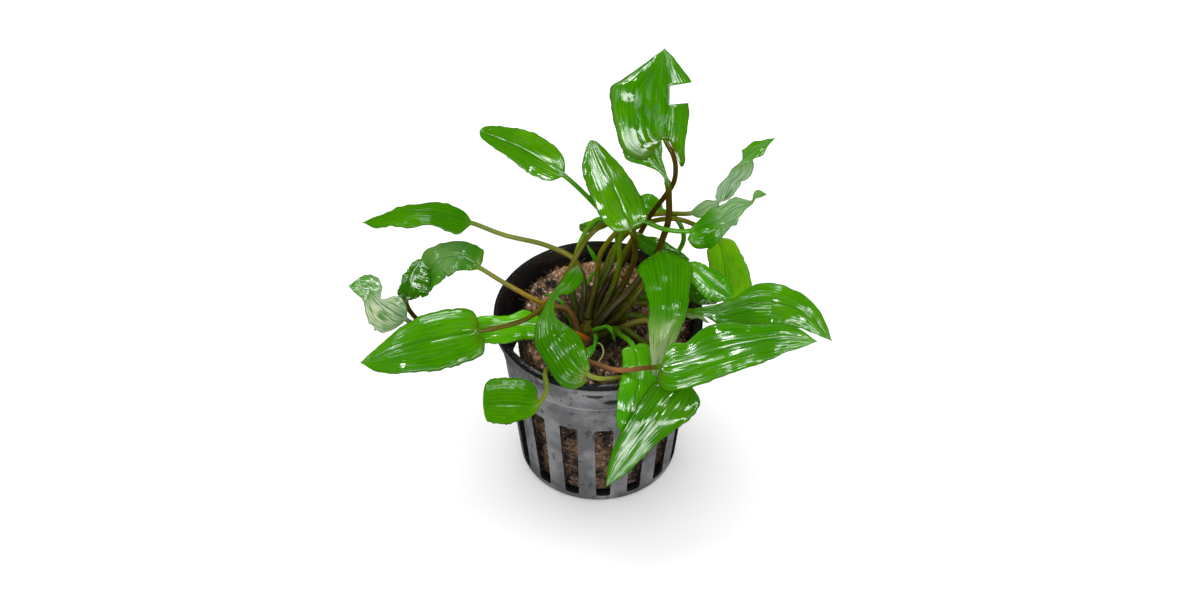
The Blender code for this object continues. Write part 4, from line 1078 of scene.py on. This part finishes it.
grow_leaf(
    "leaf_left_large", foot=(30, 0.72),
    stalk=[(4.6, 3.1, 53), (7.2, 5.1, 58), (9.2, 6, 63), (9.5, 6, 69), (8.5, 6.5, 75.5), (6, 7.5, 77),
        (3.5, 8, 75.5), (-0.5, 5, 75.5), (-3.5, 2.5, 73.5), (-7, -2, 69), (-10, -5, 64.5), (-13, -8, 62),
        (-18.5, -11, 59), (-27, -13, 57.5)],
    rib=[(-31, -14, 57.5), (-40, -16, 57.6), (-51, -18.2, 55.6), (-61, -19.6, 51.6)],
    left=(5.0, 7.2, 8.2, 8.5, 8.5, 7.9, 7.3, 6.5, 5.4, 3.5, 0.3),
    right=(5.0, 6.8, 7.3, 7.4, 7.1, 6.3, 5.4, 4.1, 2.8, 1.5, 0.3),
    faces=[(0, -0.45, 0.9), (0, -0.45, 0.9)], lobe=(3.2, 2.2), ruffle=0.3, uneven=0.12,
    shades=(OLIVE, OLIVE_BROWN),
)
grow_leaf(
    "leaf_left_over_rim", foot=(250, 0.97),
    stalk=[(-5.5, -8.6, 50.8), (-9, -9, 52.5)],
    rib=[(-13, -9.5, 54.5), (-19, -9.5, 55.5), (-26, -10.5, 56), (-34, -11, 56)],
    left=(1.6, 3.6, 4.0, 4.4, 4.6, 4.5, 3.8, 2.0), right=(1.3, 2.6, 4.0, 2.8, 2.6, 2.9, 2.6, 1.3),
    faces=[(-0.19, -0.65, 0.74)], wave=(0.3, 3, 0.0), uneven=0.6, ribbed=0.04,
    # Its high tone partly paints the glare that speckles it.
    shades=(ORANGE_RED, BRIGHT), dim=0.9, tone=1.7,
)


# The leaves at the front
# Leaves that hang over the rim or droop across the crown, one of them with a tip curled into a tube, and
# a short one behind them. Made as the tall leaves are.

grow_leaf(
    "leaf_front_curled_tip", foot=(335, 0.97),
    stalk=[(8, -6, 52), (12.5, -7, 54.5), (15.5, -10, 55), (16, -14, 54), (13.8, -17, 52.5),
        (11.5, -19, 50.5), (8, -21.8, 49.5), (3.5, -23.8, 50.3), (-0.5, -26, 52.8)],
    rib=[(-3, -26, 54.5), (-7, -23, 58.2), (-10.5, -18.5, 61), (-12, -16, 65), (-12, -14, 67.5),
        (-10, -12, 70), (-8, -11, 71), (-5, -9, 76)],
    left=(4, 7, 7, 6.7, 6, 4, 1.4, 0.9, 1.6, 2.0, 0.8),
    right=(1.5, 3, 4.3, 4.6, 3.6, 1.5, 1.0, 0.8, 2.8, 3.6, 0.8),
    faces=[(0, -0.8, 0.5), (0, -0.8, 0.6), (0.2, -0.8, 0.5), (0.5, -0.9, 0.2)], lobe=(3.5, 1.0),
    ruffle=0.3, uneven=0.04, ribbed=0.1, shades=(PALE_OLIVE, PALE_OLIVE), tone=0.74, dull=True,
    skin=[LEAF_TOP] * 11 + [(0.16, 0.27, 0.11)],
)
grow_leaf(
    "leaf_front_left_small", foot=(243, 0.97),
    stalk=[(-8, -13, 50.5), (-11, -18.5, 51.5), (-13.5, -24, 52.5), (-13, -29, 52)],
    rib=[(-15, -32, 50), (-21, -34, 52), (-29, -34, 52)],
    left=(2.2, 4.4, 6.0, 6.5, 6.6, 6.5, 6.3, 5.6), right=(2.2, 4.6, 6.3, 7.1, 7.2, 6.9, 6.5, 5.2),
    faces=[(0, -0.95, 0.28)], ruffle=0.4, nicks=0.02, uneven=0.08, shades=((0.15, 0.20, 0.02),
        (0.15, 0.20, 0.02)), tone=0.78, dull=True,
)
grow_leaf(
    "leaf_front_hanging_narrow", foot=(296, 0.82),
    stalk=[(4, -8.5, 53), (6, -12, 54), (8, -15.5, 55.5)],
    rib=[(9, -17.5, 55.5), (10, -22, 53.5), (10, -27, 52.5), (9, -32, 50), (8, -36, 46),
        (7.5, -37, 40.5)],
    left=(3.6, 4.3, 4.8, 5.0, 4.3, 3.0, 0.4), right=(3.2, 3.9, 4.4, 4.6, 4.2, 2.9, 0.4),
    faces=[(0, -0.4, 1), (0, -0.7, 0.7), (0, -1, 0.2)], lobe=(2.0, 2.0), ruffle=0.4, uneven=0.1,
    shades=(OLIVE, BRIGHT), tone=1.35,
)
grow_leaf(
    "leaf_front_hanging_wide", foot=(318, 0.82),
    stalk=[(6.5, -7.5, 52), (9, -9.5, 52), (13.5, -12.5, 50), (16, -17, 52), (19, -21.8, 53.8),
        (21, -26.5, 54.0)],
    rib=[(21.5, -28, 53.7), (16.5, -34.4, 50.6), (10, -39.1, 43.2), (2, -45.3, 33.2)],
    left=(6.4, 7.0, 5.9, 4.5, 3.5, 2.4, 0.3), right=(4.4, 6.0, 5.8, 5.3, 4.6, 3.1, 0.4),
    faces=[(0, -0.4, 1), (0, -0.9, 0.45), (0, -0.8, 0.9)], shades=(OLIVE, BRIGHT), tone=0.8,
)
grow_leaf(
    "leaf_centre_drooping", foot=(338, 0.66),
    stalk=[(5, -5, 53.5), (9, -4, 59), (13, -1, 65)],
    rib=[(15.5, 2.5, 69.5), (17, -3, 72.5), (17.5, -10, 72.3), (17.5, -17, 69), (16.5, -21, 63),
        (14, -26, 50.5)],
    left=(5, 7.6, 7.2, 6.2, 5.5, 4.5, 3, 1.3, 0.3), right=(5, 7.8, 7.2, 6.2, 5.3, 4.8, 3.5, 2, 0.4),
    faces=[(0, 0.3, 1), (0, -0.2, 1), (0, -0.7, 0.7), (0, -0.85, 0.62)], fold=(-8, -8),
    wave=(0.2, 3, 0.0), ruffle=0.9, nicks=0.05, uneven=0.01, tone=0.9, dull=True,
    # The pale colours on its lower part are a painted glare.
    skin=[LEAF_TOP] * 5 + [(0.10, 0.26, 0.05), (0.27, 0.42, 0.23), (0.32, 0.47, 0.29),
        (0.27, 0.42, 0.23)],
)
grow_leaf(
    "leaf_centre_back", foot=(58, 0.8),
    stalk=[(3.5, 5, 52.5), (4.8, 7.5, 58), (6.5, 8.5, 63), (8, 8.5, 67)],
    rib=[(10, 8, 71), (12, 8, 68.5), (16, 8.5, 65.5), (24, 9, 61)],
    left=(0.6, 1.5, 2.4, 2.4, 1.8, 1.2, 0.3), right=(0.8, 2.2, 2.8, 3.2, 3, 2.2, 0.3),
    faces=[(0, -0.8, 0.6)], wave=(0.2, 3, 0.0), shades=(OLIVE, OLIVE), tone=0.8,
)


# The leaves low on the right
# Two large leaves that reach out over the rim, and two smaller ones in their shade.
# Made as the tall leaves are.

grow_leaf(
    "leaf_right_large_low", foot=(257, 0.97),
    stalk=[(-4.6, -13, 48.8), (-3.5, -15.5, 49), (0.5, -19, 50), (5.5, -23.5, 53), (12, -27, 57.5)],
    rib=[(15.5, -28.5, 59.5), (25.5, -28.5, 63), (35.5, -28.5, 67), (45, -28, 69), (54.5, -27.5, 67.5)],
    left=(1, 5, 4.6, 6.8, 7.1, 6.6, 4.8, 4.2, 3.7, 2.4, 0.3),
    right=(5.5, 7.0, 6.8, 6.6, 6.3, 6.0, 5.6, 4.9, 3.6, 2.1, 0.3),
    faces=[(0, -0.7, 0.8)], wave=(0.3, 3, 0.0), lobe=(0.0, 3.0), ruffle=1.2, uneven=0.25,
    shades=(PINK_BROWN, PINK_BROWN, BROWN),
)
grow_leaf(
    "leaf_right_large_high", foot=(0, 0.8),
    stalk=[(6.5, -1, 54), (12.5, -1.5, 55.5), (18.5, -5, 57)],
    rib=[(23.5, -9, 60), (31, -10, 61.5), (38.5, -11, 64.5), (46, -13, 66.5), (52.5, -15, 65),
        (59.5, -18, 58)],
    left=(0.6, 1.1, 1.7, 2.6, 5.0, 5.6, 4.9, 4.2, 3.4, 2.1, 0.3),
    right=(0.8, 1.6, 4.5, 5.5, 5.5, 5.8, 5.4, 4.8, 3.7, 2, 0.3),
    faces=[(0, -0.5, 0.9), (0.2, -0.5, 0.9)], ruffle=0.8, uneven=0.12, shades=(OLIVE, OLIVE),
)
grow_leaf(
    "leaf_right_rim_pale", foot=(350, 0.99),
    stalk=[(8, -3.5, 53), (12.5, -4.5, 53), (18.5, -5, 53)],
    rib=[(22, -5, 54.5), (26, -5, 54.5), (29, -6, 52.5)],
    left=(1.2, 2.4, 2.8, 2.6, 1.8, 0.4),
    faces=[(0.2, 0.5, 0.9)], shades=(OLIVE, BRIGHT),
    skin=[(0.30, 0.38, 0.20)],
)
grow_leaf(
    "leaf_right_shaded", foot=(38, 0.99),
    stalk=[(8, 3, 53), (13, 3, 53), (19, 3, 54)],
    rib=[(23, 2.5, 56), (27, 1, 56.5), (31, 0, 54)],
    left=(1.2, 2.6, 3, 2.8, 1.8, 0.4),
    # Its low tone is painted shade.
    faces=[(0, -0.6, 0.8)], shades=(OLIVE, BRIGHT), tone=0.6,
)


# The leaves at the back
# One leaf that bends over the rim behind the plant and one that stays close to the others.
# Made as the tall leaves are.

grow_leaf(
    "leaf_back_over_rim", foot=(138, 0.97),
    stalk=[(-7, 9, 53), (-5, 16, 60), (-1, 21, 64)],
    rib=[(3, 24, 62), (0, 31, 55), (-3, 37, 45)],
    left=(1.5, 4, 4.8, 4.6, 3.4, 0.4),
    faces=[(0, 0.1, 1), (0, 0.6, 0.8)], shades=(OLIVE, BRIGHT),
)
grow_leaf(
    "leaf_back_right", foot=(60, 0.99),
    stalk=[(7, 6, 50), (12, 8, 52), (17, 10, 55), (20.5, 14, 58), (22.5, 16, 61.5), (22, 17, 65),
        (20, 18, 68)],
    rib=[(16.5, 18.5, 70), (13, 19.5, 71), (8, 22, 70)],
    left=(1, 2.8, 3.4, 3, 2, 0.3),
    faces=[(0, -0.4, 0.9)], shades=(OLIVE, BRIGHT),
)


# The young leaves
# Shoots at the crown that are narrow as grass and a lighter green.
# Made as the tall leaves are, with a skin of their own whose veins are fainter.

young_leaf_green = leaf_finish("young_leaf_green", 0.1)


def grow_young_leaf(name, **spec):
    """A leaf with a thin stalk, all of it bright, in the young leaves' own skin."""
    spec = spec | dict(thick=0.6, shades=(BRIGHT, BRIGHT), dim=0.9, tone=1.4)
    grow_leaf(name, young_leaf_green, "young_leaf_green", **spec)


grow_young_leaf(
    "young_leaf_back", foot=(120, 0.99),
    stalk=[(-4, 6, 51), (-2, 11, 53)],
    rib=[(0, 13, 54.5), (-1.5, 14, 58.5), (-3, 15.5, 60.5)],
    left=(0.6, 0.8, 0.8, 0.2),
    faces=[(1, -0.5, 0.6)],
)
grow_young_leaf(
    "young_leaf_left", foot=(162, 0.97),
    stalk=[(-9, 2, 51)],
    rib=[(-10, 3, 52), (-12, 5, 52), (-14, 7, 50.5)],
    left=(0.5, 0.7, 0.6, 0.2),
    faces=[(0, 0, 1)],
)
grow_young_leaf(
    "young_leaf_front", foot=(286, 0.5),
    stalk=[(1.2, -8, 53)],
    rib=[(2.3, -8.6, 54), (3.6, -9.6, 53.4), (4.4, -11, 50.8)],
    left=(0.5, 0.7, 0.6, 0.2),
    faces=[(0, 0, 1), (0.8, -0.3, 0.4)],
)
grow_young_leaf(
    "leaf_crown_tiny", foot=(283, 0.8),
    stalk=[(-0.8, -11, 50.5)],
    rib=[(-1.2, -13.0, 50.8), (-2.8, -15, 50.6), (-4.6, -16.6, 50.2)],
    left=(0.6, 1.2, 1.3, 0.3),
    faces=[(0, -0.7, 0.7)],
)


# The stage
# A plain white floor, big soft lights and the camera at the photograph's viewing angle.

floor_mesh = bpy.data.meshes.new("floor")
floor_mesh.from_pydata([(-4, -4, 0), (4, -4, 0), (4, 4, 0), (-4, 4, 0)], [], [(0, 1, 2, 3)])
floor = place("floor", floor_mesh)
floor_white, tree, shader, where = new_finish("floor_white", 0.9)
shader.inputs["Base Color"].default_value = (1.0, 1.0, 1.0, 1.0)
shader.inputs["Specular IOR Level"].default_value = 0.0
floor_mesh.materials.append(floor_white)
floor.visible_glossy = False


def soft_light(name, azimuth, elevation, distance, width, height, power, mirrored=True, lighting=True):
    """A rectangular light that faces the plant, sized in metres and watts. Azimuth 0 is in front of the
    plant and 90 to its right. The boxes only show as highlights, and the key light only lights."""
    a, e = math.radians(azimuth), math.radians(elevation)
    away = Vector((math.sin(a) * math.cos(e), -math.cos(a) * math.cos(e), math.sin(e)))
    data = bpy.data.lights.new(name, "AREA")
    data.shape, data.size, data.size_y, data.energy = "RECTANGLE", width, height, power
    lamp = bpy.data.objects.new(name, data)
    lamp.location = Vector((0, 0, 0.06)) + away * distance
    lamp.rotation_mode = "QUATERNION"
    lamp.rotation_quaternion = (-away).to_track_quat("-Z", "Y")
    lamp.visible_glossy, lamp.visible_diffuse = mirrored, lighting
    bpy.context.scene.collection.objects.link(lamp)


soft_light("key_light", 205, 74, 1.3, 0.8, 0.8, 4, mirrored=False)
soft_light("back_box", 200, 68, 1.3, 0.34, 0.26, 4, lighting=False)
soft_light("left_box", -38, 48, 1.4, 0.14, 0.26, 6, lighting=False)
soft_light("side_box", -98, 57, 1.4, 0.11, 0.34, 1.7, lighting=False)
soft_light("front_box", 26, 48, 1.4, 0.40, 0.24, 7, lighting=False)
soft_light("low_box", 18, 9, 1.4, 1.0, 0.20, 14, lighting=False)
soft_light("low_left_box", -12, 14, 1.4, 0.36, 0.28, 6.3, lighting=False)
soft_light("low_right_box", 45, 20, 1.4, 0.22, 0.20, 3.5, lighting=False)
soft_light("right_box", 54, 42, 1.4, 0.17, 0.36, 9, lighting=False)

world = bpy.data.worlds.new("studio")
bpy.context.scene.world = world
world.use_nodes = True
world.node_tree.nodes["Background"].inputs["Color"].default_value = (1, 1, 1, 1)
world.node_tree.nodes["Background"].inputs["Strength"].default_value = 1.15
world.cycles_visibility.glossy = False
bpy.context.scene.view_settings.view_transform = "Standard"
bpy.context.scene.view_settings.look = "None"
bpy.context.scene.view_settings.exposure = 0.0

TARGET = Vector((0, 0, 0.051))
CAMERA_DISTANCE = 0.6
CAMERA_ELEVATION = math.radians(44.4)
PHOTO_WIDTH = 1200
lens_data = bpy.data.cameras.new("camera")
lens_data.sensor_width = 36.0
lens_data.lens = 68.65
lens_data.shift_x = 1.7 / PHOTO_WIDTH
lens_data.shift_y = 11.3 / PHOTO_WIDTH
lens_data.clip_start, lens_data.clip_end = 0.01, 20
camera = bpy.data.objects.new("camera", lens_data)
away = Vector((0, -math.cos(CAMERA_ELEVATION), math.sin(CAMERA_ELEVATION)))
camera.location = TARGET + CAMERA_DISTANCE * away
camera.rotation_euler = (math.pi / 2 - CAMERA_ELEVATION, 0, 0)
bpy.context.scene.collection.objects.link(camera)
bpy.context.scene.camera = camera
bpy.context.view_layer.update()
